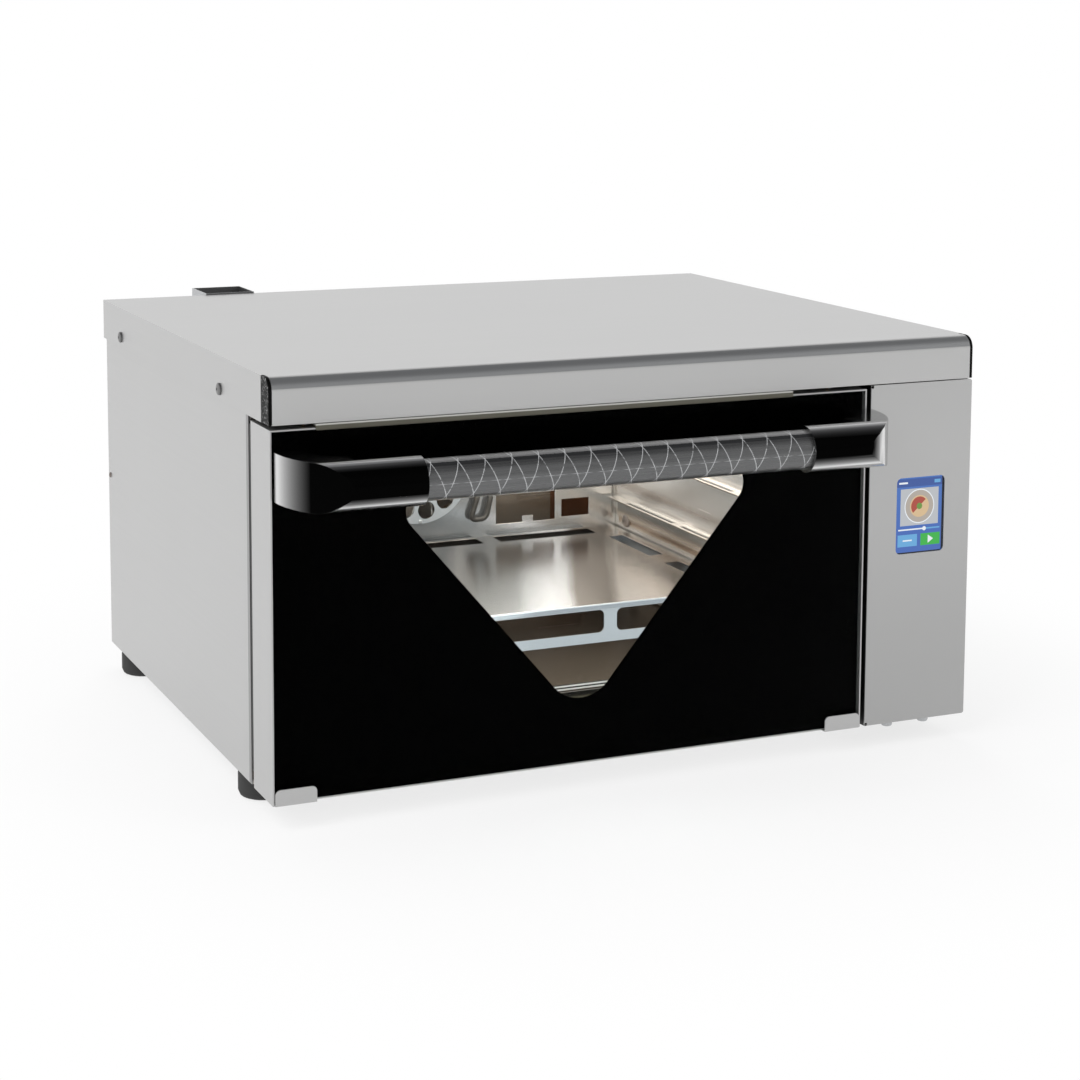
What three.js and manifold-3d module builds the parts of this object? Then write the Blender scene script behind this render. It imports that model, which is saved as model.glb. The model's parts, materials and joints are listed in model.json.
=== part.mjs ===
// A countertop speed oven: a sheet steel case with a bottom-hinged glass door,
// a fan-blown cavity with a cooking deck, and a narrow control compartment.
// Millimetres, X to the right, Y to the back, Z up. The origin is on the surface
// that the oven stands on, under the middle of the space it takes up.
import * as THREE from "three";
import { mergeVertices } from "three/addons/utils/BufferGeometryUtils.js";
import Module from "manifold-3d";

const wasm = await Module();
wasm.setup();

// Case
const caseWidth = 727;
const caseDepth = 605;
const caseHeight = 384;
const sheet = 1.5;
const fit = 0.3;
const overrun = 5;
const nose = { height: 42, bend: 12, floorDepth: 20, lip: 12, capDepth: 22, capWall: 3, capPlug: 9 };
const coverScrew = { frontSetback: 151, rearGap: 78, rise: 10.5, shank: 3, radius: 5.8, rim: 0.8, dome: 1.7,
  flat: 1.9, socket: 1.5, socketDepth: 1 };
const rearLap = 5;
const base = { flange: 15 };
const foot = { height: 24, radius: 24, round: 6, inset: 1, frontSetback: 105, rearGap: 57, recessRadius: 9,
  recessDepth: 7 };

// Door
const door = { thickness: 57, backGap: 10, sideReveal: 1, panelGap: 5.2, topGap: 4, flange: 12 };
const doorGlass = { thickness: 5, foot: 1.5 };
const mask = { thickness: 1 };
const windowShape = { topDrop: 60, leftMargin: 101.7, rightMargin: 106.7, tip: 43.2, tipOffset: 1.1,
  cornerRadius: 22.5, tipRadius: 36 };
const innerWindow = { sideMargin: 72, floor: 36, topDrop: 38, corner: 14, glass: 4, lap: 12 };
const clip = { width: 39, height: 15, thickness: 1.2, corner: 5 };
const topStrip = { leftGap: 42, rightGap: 83, depth: 14, thickness: 3, lip: 1.2, lap: 2.3 };
const hinge = { height: 9, inset: 62, plate: 4, boss: 7, play: 0.5, ear: 3, pinRadius: 3, headRadius: 5,
  head: 1.5, reach: 46, tail: 22, root: 22 };

// Handle
const handle = { leftInset: 2.8, rightInset: -3, height: 44, axisReach: 62, axisDrop: 41, cornerReach: 54,
  legWidth: 28, innerFillet: 26, leftSpan: 113.6, rightSpan: 108.4 };
const sleeve = { radius: 18.5, wall: 2.2, seat: 0.8 };
const bar = { play: 0.4, grip: 28, wall: 2 };

// Catches over the door
const catches = { leftInset: 35, rightInset: 37, setback: 13, collarRadius: 6, collar: 1.5, barrelRadius: 4,
  barrel: 16, ballRadius: 2.5, ballLength: 14 };

// Control panel
const panel = { width: 116.3, topGap: 1, returnDepth: 20, corner: 2.5, notch: 1.6 };
const screen = { width: 55.4, height: 76.4, sideDrop: 56.9, drop: 132.7, corner: 5, glass: 2.2,
  frameMargin: 6, frameDepth: 16, frameWall: 2 };

// Cavity
const cavity = { doorMargin: 59.25, ceilingDrop: 84, floor: 50, plenum: 54, rearRoom: 110 };
const insulation = { thickness: 30 };
const gasket = { width: 12, margin: 8 };
const deck = { rise: 70, setback: 47, lip: 5, rearGap: 0.6, sideGap: 3 };
const deckSlots = { leftMargin: 55, rightMargin: 34, rearWeb: 20, rearWidth: 26, rearMargin: 3, rearCount: 3,
  frontMargin: 30, sideRearMargin: 48, sideWeb: 35, sideWidth: 18, sideMargin: 15, sideCount: 2 };
const stand = { setback: 3, railHeight: 40, openingFloor: 10, openingHeight: 23, post: 14, postOffset: 85,
  corner: 6, sideGap: 6, footLength: 26, sideTopBand: 12, rearGap: 22 };
const rails = { deckGap: 12, lampGap: 6, lowLedgeShare: 0.235, highLedge: 17, ledgeCount: 2, ledgeWidth: 14,
  frontSetback: 36, rearGap: 8, slotMargin: 40, slotWeb: 18, slotWidth: 5, slotCount: 2,
  slotPlaceShare: 0.6 };

// Air baffle, with its windows placed from the side walls and from the deck
const baffle = { flange: 12, inletLap: 14, slotHeight: 12, slotMargin: 10, slotSide: 50 };
const wideWindow = { wallGap: 76, width: 72, rise: 13, height: 33 };
const smallWindow = { wallGap: 34, width: 34, rise: 15, height: 20 };
const baffleTab = { inset: 27, width: 13, height: 7 };
const returnSlots = { margin: 41, web: 46, height: 30, rise: 16, count: 3 };

// Fan, heater and what passes through the rear wall
const fan = { heaterGap: 10, bladeRoot: 30, blade: 1.6, blades: 14, leanAngle: 0.6, gap: 4, depth: 38,
  plate: 2, ring: 10, hubRadius: 13, hubDepth: 24 };
const shaft = { radius: 4, inMotor: 18 };
const motor = { radius: 42, rearGap: 14, bossRadius: 16, boss: 4, ribs: 12, rib: 3, ribInset: 4 };
const bridge = { thickness: 2, ventGap: 4, flange: 14 };
const heater = { ceilingGap: 4, floorGap: 62, tube: 4, setback: 24, legAngle: 0.16, tail: 10 };
const vent = { radius: 20, wall: 1.5, wallGap: 84, drop: 30 };
const probe = { radius: 2, inside: 60, headRadius: 7, head: 6, rearGap: 136, drop: 22 };
const lamp = { radius: 24, lens: 5, rim: 4, setback: 128, drop: 38, barrelRadius: 15 };

// Rear and control compartment
const duct = { width: 56, depth: 57, wall: 1.2, rise: 1.6, length: 178 };
const coolingFan = { size: 92, depth: 25, bore: 43, hubRadius: 19, hubDepth: 16, strut: 4, strutDepth: 3,
  blades: 7, bladeTip: 40, blade: 2, height: 180, corner: 6, bladeAngle: 0.6, floor: 3, running: 1.5 };
const fanSlots = { count: 8, width: 76, height: 5, pitch: 10 };
const louvres = { count: 9, width: 150, height: 5, pitch: 14, low: 60, leftGap: 97, web: 100, banks: 2 };
const gland = { height: 60, hole: 10, nutRadius: 14, nut: 6, domeRadius: 11, dome: 10, bore: 5, washer: 3 };
const board = { width: 180, height: 170, thickness: 1.6, standoff: 8, standoffRadius: 3, standoffInset: 8,
  setback: 150, topDrop: 52, tallest: 24 };
const boardPartShares = [
  { along: 0.1, up: 0.15, length: 0.22, tall: 0.3, deep: 1 },
  { along: 0.42, up: 0.12, length: 0.12, tall: 0.25, deep: 0.75 },
  { along: 0.62, up: 0.12, length: 0.12, tall: 0.25, deep: 0.75 },
  { along: 0.15, up: 0.6, length: 0.3, tall: 0.24, deep: 0.25 },
  { along: 0.58, up: 0.55, length: 0.3, tall: 0.1, deep: 0.6 },
  { along: 0.58, up: 0.72, length: 0.3, tall: 0.1, deep: 0.6 },
];
const sink = { width: 70, length: 130, foot: 8, fins: 9, fin: 2.5, height: 62, setback: 200,
  gapFromWall: 14 };

// Places worked out from the sizes
const left = -caseWidth / 2;
const right = caseWidth / 2;
const noseFloor = caseHeight - nose.height;
const frameFace = door.thickness + door.backGap;
const frameBack = frameFace + sheet;
const rearFace = caseDepth - rearLap;
const sideInner = caseWidth / 2 - 2 * sheet - 2 * fit;
const underCover = caseHeight - sheet - fit;
const panelLeft = right - panel.width;
const panelTop = noseFloor - panel.topGap;
const doorLeft = left + door.sideReveal;
const doorRight = panelLeft - door.panelGap;
const doorMiddle = (doorLeft + doorRight) / 2;
const doorTop = noseFloor - door.topGap;
const cavityLeft = doorLeft + cavity.doorMargin;
const cavityRight = doorRight - cavity.doorMargin;
const cavityTop = caseHeight - cavity.ceilingDrop;
const linerFront = frameBack + fit;
const cavityBack = rearFace - cavity.rearRoom;
const baffleFace = cavityBack - cavity.plenum;
const linerBack = cavityBack + sheet;
const insulationBack = linerBack + fit + insulation.thickness;
const heaterRadius = (cavityTop - cavity.floor - heater.ceilingGap - heater.floorGap) / 2 - heater.tube;
const fanHeight = cavityTop - heater.ceilingGap - heater.tube - heaterRadius;
const fanRadius = heaterRadius - heater.tube - fan.heaterGap;
const inletRadius = fanRadius - baffle.inletLap;
const ventPlace = cavityLeft + vent.wallGap;
const ventHeight = cavityTop - vent.drop;
const innerFront = linerFront + sheet + fit;
const innerRear = rearFace - 2 * (sheet + fit);
const deckTop = cavity.floor + deck.rise;
const deckFront = frameFace + deck.setback;
const deckRear = baffleFace - deck.rearGap;
const bayMiddle = (panelLeft + sheet + sideInner) / 2;
const screenPlace = right - screen.sideDrop;
const screenMiddle = panelTop - screen.drop;
const probeSetback = baffleFace - probe.rearGap;
const probeHeight = cavityTop - probe.drop;
const lampSetback = frameFace + lamp.setback;
const lampHeight = cavityTop - lamp.drop;
const handleHeight = doorTop - handle.axisDrop;
const handleRadius = handle.height / 2;
const frontReach = handle.axisReach + handleRadius;
const rearReach = caseDepth + fit + duct.depth;
const fullTurn = 2 * Math.PI;

// Steps on half a turn for large, small and six-sided outlines, and the reach that joins corners
const fine = 12;
const coarse = 5;
const hexagon = 3;
const weld = 0.001;

// Finishes
function finish(color, roughness, metalness) {
  return new THREE.MeshStandardMaterial({ color, roughness, metalness });
}
const steel = finish(0xc6c6c4, 0.38, 0.9);
const innerSteel = finish(0xb9b4ac, 0.25, 1);
const galvanised = finish(0xa4a7a8, 0.5, 0.9);
const blackPlastic = finish(0x111111, 0.45, 0);
const blackEnamel = finish(0x060606, 0.3, 0);
const glass = finish(0x0b0d0f, 0.05, 0);
const clearGlass = finish(0xdfe8ea, 0.04, 0);
const rubber = finish(0x3a3a3a, 0.8, 0);
const silicone = finish(0x6f6a50, 0.7, 0);
const brass = finish(0xc08a3a, 0.3, 1);
const foil = finish(0x9a9c9e, 0.3, 0.85);
const wool = finish(0xd8d0b8, 0.95, 0);
const circuit = finish(0x1f5a34, 0.6, 0);
const aluminium = finish(0xb5b8ba, 0.4, 0.9);
const display = finish(0x2f6fb4, 0.1, 0);
const whitePlastic = finish(0xe6e3da, 0.5, 0);

// Solids
function solidOf(geometry) {
  const bare = geometry.index ? geometry.toNonIndexed() : geometry.clone();
  bare.deleteAttribute("normal");
  bare.deleteAttribute("uv");
  const welded = mergeVertices(bare, weld);
  return new wasm.Manifold(new wasm.Mesh({
    numProp: 3,
    vertProperties: new Float32Array(welded.attributes.position.array),
    triVerts: new Uint32Array(welded.index.array),
  }));
}

function geometryOf(solid) {
  const mesh = solid.getMesh();
  const geometry = new THREE.BufferGeometry();
  geometry.setAttribute("position", new THREE.BufferAttribute(mesh.vertProperties, 3));
  geometry.setIndex(new THREE.BufferAttribute(mesh.triVerts, 1));
  geometry.computeVertexNormals();
  return geometry;
}

function join(...solids) {
  return solids.flat().reduce((sum, solid) => sum.add(solid));
}

function cut(solid, ...tools) {
  return tools.flat().reduce((rest, tool) => rest.subtract(tool), solid);
}

function block(x, y, z) {
  const geometry = new THREE.BoxGeometry(x[1] - x[0], y[1] - y[0], z[1] - z[0]);
  geometry.translate((x[0] + x[1]) / 2, (y[0] + y[1]) / 2, (z[0] + z[1]) / 2);
  return solidOf(geometry);
}

// A prism along X takes its outline in (y, z), along Y in (x, z) and along Z in (x, y).
const prismBases = {
  x: new THREE.Matrix4().makeBasis(
    new THREE.Vector3(0, 1, 0), new THREE.Vector3(0, 0, 1), new THREE.Vector3(1, 0, 0)),
  y: new THREE.Matrix4().makeBasis(
    new THREE.Vector3(1, 0, 0), new THREE.Vector3(0, 0, 1), new THREE.Vector3(0, -1, 0)),
  z: new THREE.Matrix4(),
};

function prism(axis, outline, range, segments = coarse) {
  const depth = range[1] - range[0];
  const settings = { depth, bevelEnabled: false, curveSegments: segments };
  const geometry = new THREE.ExtrudeGeometry(outline, settings);
  geometry.translate(0, 0, axis === "y" ? -range[1] : range[0]);
  geometry.applyMatrix4(prismBases[axis]);
  return solidOf(geometry);
}

function disc(middle, radius) {
  return new THREE.Shape().absarc(middle[0], middle[1], radius, 0, fullTurn);
}

function rod(axis, middle, radius, range, segments = fine) {
  return prism(axis, disc(middle, radius), range, segments);
}

function tube(axis, middle, radius, wall, range, segments = fine) {
  const bore = [range[0] - overrun, range[1] + overrun];
  return cut(rod(axis, middle, radius, range, segments), rod(axis, middle, radius - wall, bore, segments));
}

function roundedRectangle(x, y, radius) {
  const shape = new THREE.Shape();
  shape.absarc(x[1] - radius, y[0] + radius, radius, -Math.PI / 2, 0);
  shape.absarc(x[1] - radius, y[1] - radius, radius, 0, Math.PI / 2);
  shape.absarc(x[0] + radius, y[1] - radius, radius, Math.PI / 2, Math.PI);
  shape.absarc(x[0] + radius, y[0] + radius, radius, Math.PI, 1.5 * Math.PI);
  return shape;
}

// A range that runs past both ends, for cuts
function past(range) {
  return [range[0] - overrun, range[1] + overrun];
}

function around(middle, size) {
  return [middle - size / 2, middle + size / 2];
}

// A stretch that starts a gap away from a side wall of the cavity, towards its middle
function inwards(wall, gap, width) {
  const sign = wall < doorMiddle ? 1 : -1;
  return [wall + sign * gap, wall + sign * (gap + width)].sort((a, b) => a - b);
}

// Equal stretches that share a range, with a web between neighbours
function shared(range, count, web) {
  const length = (range[1] - range[0] - (count - 1) * web) / count;
  return Array.from({ length: count }, (_, i) => {
    const start = range[0] + i * (length + web);
    return [start, start + length];
  });
}

// Group that holds the oven, lifted onto its feet and centred front to back
const oven = new THREE.Group();
oven.position.set(0, (frontReach - rearReach) / 2, foot.height);

function add(name, solid, material) {
  const mesh = new THREE.Mesh(geometryOf(solid), material);
  mesh.name = name;
  oven.add(mesh);
}

const sides = [{ name: "left", sign: -1 }, { name: "right", sign: 1 }];

// Side view of the rolled nose: front wall, bend and top, from the floor up, set in by a margin
function noseOutline(backFace, inset, floor) {
  const top = caseHeight - inset;
  const bend = nose.bend - inset;
  const outline = new THREE.Shape();
  outline.moveTo(backFace, floor);
  outline.lineTo(backFace, top);
  outline.lineTo(inset + bend, top);
  outline.absarc(inset + bend, top - bend, bend, Math.PI / 2, Math.PI);
  outline.lineTo(inset, floor);
  return outline;
}

function topCover() {
  const inner = [left + sheet, right - sheet];
  const shell = cut(
    prism("x", noseOutline(caseDepth, 0, noseFloor), [left, right]),
    prism("x", noseOutline(caseDepth - sheet, sheet, noseFloor - overrun), inner),
  );
  const ends = prism("x", noseOutline(nose.floorDepth, sheet, noseFloor - overrun), past([left, right]));
  const floor = block([left, right], [0, nose.floorDepth], [noseFloor, noseFloor + sheet]);
  const lip = block([left, right], [nose.floorDepth - sheet, nose.floorDepth],
    [noseFloor, noseFloor + nose.lip]);
  const holeReach = [noseFloor - overrun, noseFloor + nose.lip];
  const holes = catchPlaces().map((place) =>
    rod("z", [place, catches.setback], catches.barrelRadius + fit, holeReach));
  const capRoom = sides.map(({ sign }) => {
    const reach = [sign * (right + overrun), sign * (right - nose.capWall - fit)].sort((a, b) => a - b);
    return block(reach, [-overrun, nose.capDepth + fit], past([noseFloor, caseHeight]));
  });
  const screwHoles = coverScrewPlaces().map((place) =>
    rod("x", place, coverScrew.shank + fit, past([left, right]), coarse));
  return cut(join(cut(shell, ends), floor, lip), holes, capRoom, screwHoles);
}

function noseCap(sign) {
  const outer = sign * right;
  const end = outer - sign * nose.capWall;
  const plugEnd = end - sign * nose.capPlug;
  const ordered = (a, b) => [Math.min(a, b), Math.max(a, b)];
  const plate = prism("x", noseOutline(nose.capDepth, 0, noseFloor), ordered(end, outer));
  const plugBack = nose.floorDepth - sheet - fit;
  const inset = sheet + fit;
  const plug = prism("x", noseOutline(plugBack, inset, noseFloor + inset), ordered(plugEnd, end));
  return join(plate, plug);
}

function coverScrewPlaces() {
  return [coverScrew.frontSetback, caseDepth - coverScrew.rearGap].map((setback) =>
    [setback, noseFloor + coverScrew.rise]);
}

// Domed screw that stands on a side panel and holds the cover's skirt under its head
function coverScrewSolid(sign, place) {
  const seat = right + fit;
  const shoulder = seat + coverScrew.rim;
  const points = [[0, seat], [coverScrew.radius, seat]];
  for (let i = 0; i <= coarse; i += 1) {
    const angle = (Math.PI / 2) * (i / coarse);
    points.push([coverScrew.flat + (coverScrew.radius - coverScrew.flat) * Math.cos(angle),
      shoulder + coverScrew.dome * Math.sin(angle)]);
  }
  const top = shoulder + coverScrew.dome;
  points.push([coverScrew.socket, top], [coverScrew.socket, top - coverScrew.socketDepth],
    [0, top - coverScrew.socketDepth]);
  const geometry = new THREE.LatheGeometry(points.map(([r, y]) => new THREE.Vector2(r, y)), 2 * fine);
  geometry.rotateZ((-sign * Math.PI) / 2);
  geometry.translate(0, place[0], place[1]);
  const reach = [sign * (right - sheet - fit - sheet / 2), sign * shoulder].sort((a, b) => a - b);
  return join(solidOf(geometry), rod("x", place, coverScrew.shank, reach, coarse));
}

function sidePanel(sign) {
  const outer = caseWidth / 2 - sheet - fit;
  const x = sign < 0 ? [-outer, -outer + sheet] : [outer - sheet, outer];
  const screws = coverScrewPlaces().map((place) => coverScrewSolid(sign, place));
  return join(block(x, [frameFace, rearFace], [0, underCover]), screws);
}

function backPanel() {
  const y = [rearFace - sheet, rearFace];
  const plate = block([-sideInner, sideInner], y, [sheet + fit, underCover]);
  const cuts = [
    rod("y", [ventPlace, ventHeight], vent.radius + fit, past(y)),
    rod("y", [bayMiddle, gland.height], gland.hole + fit, past(y)),
  ];
  for (let bank = 0; bank < louvres.banks; bank += 1) {
    const start = left + louvres.leftGap + bank * (louvres.width + louvres.web);
    for (let i = 0; i < louvres.count; i += 1) {
      const low = louvres.low + i * louvres.pitch;
      cuts.push(block([start, start + louvres.width], past(y), [low, low + louvres.height]));
    }
  }
  for (let i = 0; i < fanSlots.count; i += 1) {
    const middle = coolingFan.height + (i - (fanSlots.count - 1) / 2) * fanSlots.pitch;
    cuts.push(block(around(bayMiddle, fanSlots.width), past(y), around(middle, fanSlots.height)));
  }
  return cut(plate, cuts);
}

function basePan() {
  const x = [-sideInner, sideInner];
  const y = [linerFront, rearFace - sheet - fit];
  const inner = block([x[0] + sheet, x[1] - sheet], [y[0] + sheet, y[1] - sheet],
    [sheet, base.flange + overrun]);
  return cut(block(x, y, [0, base.flange]), inner, hingePlaces().map((place) => hingeSlot(place)));
}

function footSolid(sign, setback) {
  const low = -foot.height;
  const top = -fit;
  const chamfer = foot.round * (1 - Math.SQRT1_2);
  const profile = [
    [foot.recessRadius, low + foot.recessDepth],
    [foot.recessRadius, low],
    [foot.radius - foot.round, low],
    [foot.radius - chamfer, low + chamfer],
    [foot.radius, low + foot.round],
    [foot.radius, top],
  ];
  const points = [[0, low + foot.recessDepth], ...profile, [0, top]];
  const outline = points.map(([r, z]) => new THREE.Vector2(r, z));
  const geometry = new THREE.LatheGeometry(outline, 2 * fine);
  geometry.rotateX(Math.PI / 2);
  geometry.translate(sign * (caseWidth / 2 - foot.inset - foot.radius), setback, 0);
  return solidOf(geometry);
}

// Face frame round the mouth of the cavity
function frontFrame() {
  const y = [frameFace, frameBack];
  const plate = block([-sideInner, sideInner], y, [0, underCover]);
  const mouth = block([cavityLeft, cavityRight], past(y), [cavity.floor, cavityTop]);
  const wires = prism("y", roundedRectangle(
    around(screenPlace, screen.width), around(screenMiddle, screen.height), panel.corner), past(y));
  return cut(plate, mouth, wires, hingePlaces().map((place) => hingeSlot(place)));
}

function doorGasket() {
  const y = [door.thickness + fit, frameFace - fit];
  const reach = gasket.margin + gasket.width;
  const outline = roundedRectangle(
    [cavityLeft - reach, cavityRight + reach], [cavity.floor - reach, cavityTop + reach], reach);
  const inner = roundedRectangle(
    [cavityLeft - gasket.margin, cavityRight + gasket.margin],
    [cavity.floor - gasket.margin, cavityTop + gasket.margin], gasket.margin);
  return cut(prism("y", outline, y), prism("y", inner, past(y)));
}

// Holes that the rear wall and its insulation share
function rearWallHoles(y) {
  const legs = heaterLegs().map(([x, z]) => rod("y", [x, z], heater.tube + fit, y, coarse));
  return [
    rod("y", [doorMiddle, fanHeight], shaft.radius + 2 * fit, y),
    ...legs,
  ];
}

function cavityLiner() {
  const outer = block([cavityLeft - sheet, cavityRight + sheet], [linerFront, linerBack],
    [cavity.floor - sheet, cavityTop + sheet]);
  const inner = block([cavityLeft, cavityRight], [linerFront - overrun, cavityBack],
    [cavity.floor, cavityTop]);
  const rear = past([cavityBack, linerBack]);
  const wallLeft = past([cavityLeft - sheet, cavityLeft]);
  const wallRight = past([cavityRight, cavityRight + sheet]);
  return cut(outer, inner, rearWallHoles(rear),
    rod("y", [ventPlace, ventHeight], vent.radius - vent.wall, rear),
    rod("x", [probeSetback, probeHeight], probe.radius + fit, wallLeft, coarse),
    rod("x", [lampSetback, lampHeight], lamp.barrelRadius + fit, wallRight));
}

function insulationJacket() {
  const clear = sheet + fit;
  const thick = clear + insulation.thickness;
  const outer = block([cavityLeft - thick, cavityRight + thick], [linerFront, insulationBack],
    [cavity.floor - thick, cavityTop + thick]);
  const inner = block([cavityLeft - clear, cavityRight + clear], [linerFront - overrun, linerBack + fit],
    [cavity.floor - clear, cavityTop + clear]);
  const rear = past([linerBack, insulationBack]);
  const wallLeft = past([cavityLeft - thick, cavityLeft]);
  const wallRight = past([cavityRight, cavityRight + thick]);
  return cut(outer, inner, rearWallHoles(rear), hingePlaces().map((place) => hingeRoom(place)),
    rod("y", [ventPlace, ventHeight], vent.radius + fit, rear),
    rod("x", [probeSetback, probeHeight], probe.radius + fit, wallLeft, coarse),
    rod("x", [lampSetback, lampHeight], lamp.barrelRadius + fit, wallRight));
}

function airBaffle() {
  const x = [cavityLeft + fit, cavityRight - fit];
  const z = [cavity.floor + fit, cavityTop - fit];
  const y = [baffleFace, baffleFace + sheet];
  const flangeEnd = baffleFace + baffle.flange;
  const plate = join(block(x, y, z),
    block([x[0], x[0] + sheet], [baffleFace, flangeEnd], z),
    block([x[1] - sheet, x[1]], [baffleFace, flangeEnd], z));
  const cuts = [rod("y", [doorMiddle, fanHeight], inletRadius, past(y), 2 * fine)];
  for (const wall of [cavityLeft, cavityRight]) {
    for (const hole of [wideWindow, smallWindow]) {
      const low = deckTop + hole.rise;
      cuts.push(block(inwards(wall, hole.wallGap, hole.width), past(y), [low, low + hole.height]));
    }
  }
  const slotTop = cavityTop - baffle.slotMargin;
  const slotReach = [cavityLeft + baffle.slotSide, cavityRight - baffle.slotSide];
  cuts.push(block(slotReach, past(y), [slotTop - baffle.slotHeight, slotTop]));
  const low = cavity.floor + returnSlots.rise;
  const reach = [cavityLeft + returnSlots.margin, cavityRight - returnSlots.margin];
  for (const across of shared(reach, returnSlots.count, returnSlots.web)) {
    cuts.push(block(across, past(y), [low, low + returnSlots.height]));
  }
  const sill = deckTop + wideWindow.rise;
  const tabZ = [sill - sheet, sill + baffleTab.height];
  const tabs = [cavityLeft, cavityRight].map((wall) =>
    block(inwards(wall, wideWindow.wallGap + baffleTab.inset, baffleTab.width), y, tabZ));
  return join(cut(plate, cuts), tabs);
}

// Side rail: a wall plate with ledges that a pan or rack slides on
function rackRail(sign) {
  const wall = sign < 0 ? cavityLeft + fit : cavityRight - fit;
  const inward = -sign;
  const span = (depth) => [wall, wall + inward * depth].sort((a, b) => a - b);
  const y = [frameFace + rails.frontSetback, baffleFace - rails.rearGap];
  const z = [deckTop + rails.deckGap, lampHeight - lamp.radius - rails.lampGap];
  const plate = block(span(sheet), y, z);
  const lowest = z[0] + (z[1] - z[0]) * rails.lowLedgeShare;
  const pitch = (z[1] - rails.highLedge - lowest) / (rails.ledgeCount - 1);
  const heights = Array.from({ length: rails.ledgeCount }, (_, i) => lowest + i * pitch);
  const ledges = heights.map((top) => block(span(rails.ledgeWidth), y, [top - sheet, top]));
  const middle = wall + inward * rails.ledgeWidth * rails.slotPlaceShare;
  const reach = [y[0] + rails.slotMargin, y[1] - rails.slotMargin];
  const slots = heights.flatMap((top) => shared(reach, rails.slotCount, rails.slotWeb).map((along) =>
    block(around(middle, rails.slotWidth), along, past([top - sheet, top]))));
  return cut(join(plate, ledges), slots);
}

function cookingDeck() {
  const x = [cavityLeft + deck.sideGap, cavityRight - deck.sideGap];
  const z = [deckTop - sheet, deckTop];
  const plate = join(block(x, [deckFront, deckRear], z),
    block(x, [deckFront, deckFront + sheet], [deckTop - deck.lip, deckTop]));
  const slots = [];
  const rearY = [deckRear - deckSlots.rearMargin - deckSlots.rearWidth, deckRear - deckSlots.rearMargin];
  const rearX = [x[0] + deckSlots.leftMargin, x[1] - deckSlots.rightMargin];
  for (const across of shared(rearX, deckSlots.rearCount, deckSlots.rearWeb)) {
    slots.push(block(across, rearY, past(z)));
  }
  const sideY = [deckFront + deckSlots.frontMargin, deckRear - deckSlots.sideRearMargin];
  for (const wall of [cavityLeft, cavityRight]) {
    for (const along of shared(sideY, deckSlots.sideCount, deckSlots.sideWeb)) {
      slots.push(block(inwards(wall, deckSlots.sideMargin, deckSlots.sideWidth), along, past(z)));
    }
  }
  return cut(plate, slots);
}

// Frame that carries the deck off the cavity floor
function deckStand() {
  const top = deckTop - sheet - fit;
  const x = [cavityLeft + stand.sideGap, cavityRight - stand.sideGap];
  const half = (x[1] - x[0]) / 2;
  const y = [deckFront + sheet + fit + stand.setback, deckRear - stand.rearGap];
  const front = [y[0], y[0] + sheet];
  const railLow = deckTop - stand.railHeight;
  const openings = [];
  const z = [railLow + stand.openingFloor, railLow + stand.openingFloor + stand.openingHeight];
  const inner = stand.postOffset - stand.post / 2;
  const outer = stand.postOffset + stand.post / 2;
  for (const reach of [[-inner, inner], [outer, half - stand.post], [stand.post - half, -outer]]) {
    const across = [doorMiddle + reach[0], doorMiddle + reach[1]];
    openings.push(prism("y", roundedRectangle(across, z, stand.corner), past(front)));
  }
  const rail = cut(block(x, front, [railLow, top]), openings);
  const cheeks = [[x[0], x[0] + sheet], [x[1] - sheet, x[1]]].map((across) => {
    const cheek = block(across, y, [cavity.floor + fit, top]);
    const hole = block(past(across), [y[0] + stand.footLength, y[1] - stand.footLength],
      [cavity.floor, top - stand.sideTopBand]);
    return cut(cheek, hole);
  });
  const rearRail = block(x, [y[1] - sheet, y[1]], [top - stand.sideTopBand, top]);
  return join(rail, cheeks, rearRail);
}

// Ring heater round the fan, with two legs out through the rear wall
function heaterLegs() {
  return [-1, 1].map((sign) => {
    const angle = -Math.PI / 2 + sign * heater.legAngle;
    return [doorMiddle + heaterRadius * Math.cos(angle), fanHeight + heaterRadius * Math.sin(angle)];
  });
}

function ringHeater() {
  const y = baffleFace + heater.setback;
  const steps = 3 * fine;
  const [first, last] = heaterLegs();
  const end = insulationBack + heater.tail;
  const turn = y + 2 * heater.tube;
  const points = [end, turn + heater.tube, turn].map((depth) => [last[0], depth, last[1]]);
  const reach = heaterRadius;
  for (let i = 0; i <= steps; i += 1) {
    const sweep = fullTurn - 4 * heater.legAngle;
    const angle = -Math.PI / 2 + 2 * heater.legAngle + sweep * (i / steps);
    points.push([doorMiddle + reach * Math.cos(angle), y, fanHeight + reach * Math.sin(angle)]);
  }
  points.push(...[turn, turn + heater.tube, end].map((depth) => [first[0], depth, first[1]]));
  const path = new THREE.CatmullRomCurve3(points.map((p) => new THREE.Vector3(...p)), false, "centripetal");
  const geometry = new THREE.ExtrudeGeometry(disc([0, 0], heater.tube), {
    extrudePath: path, steps: 2 * steps, curveSegments: coarse - 1, bevelEnabled: false });
  return solidOf(geometry);
}

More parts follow.
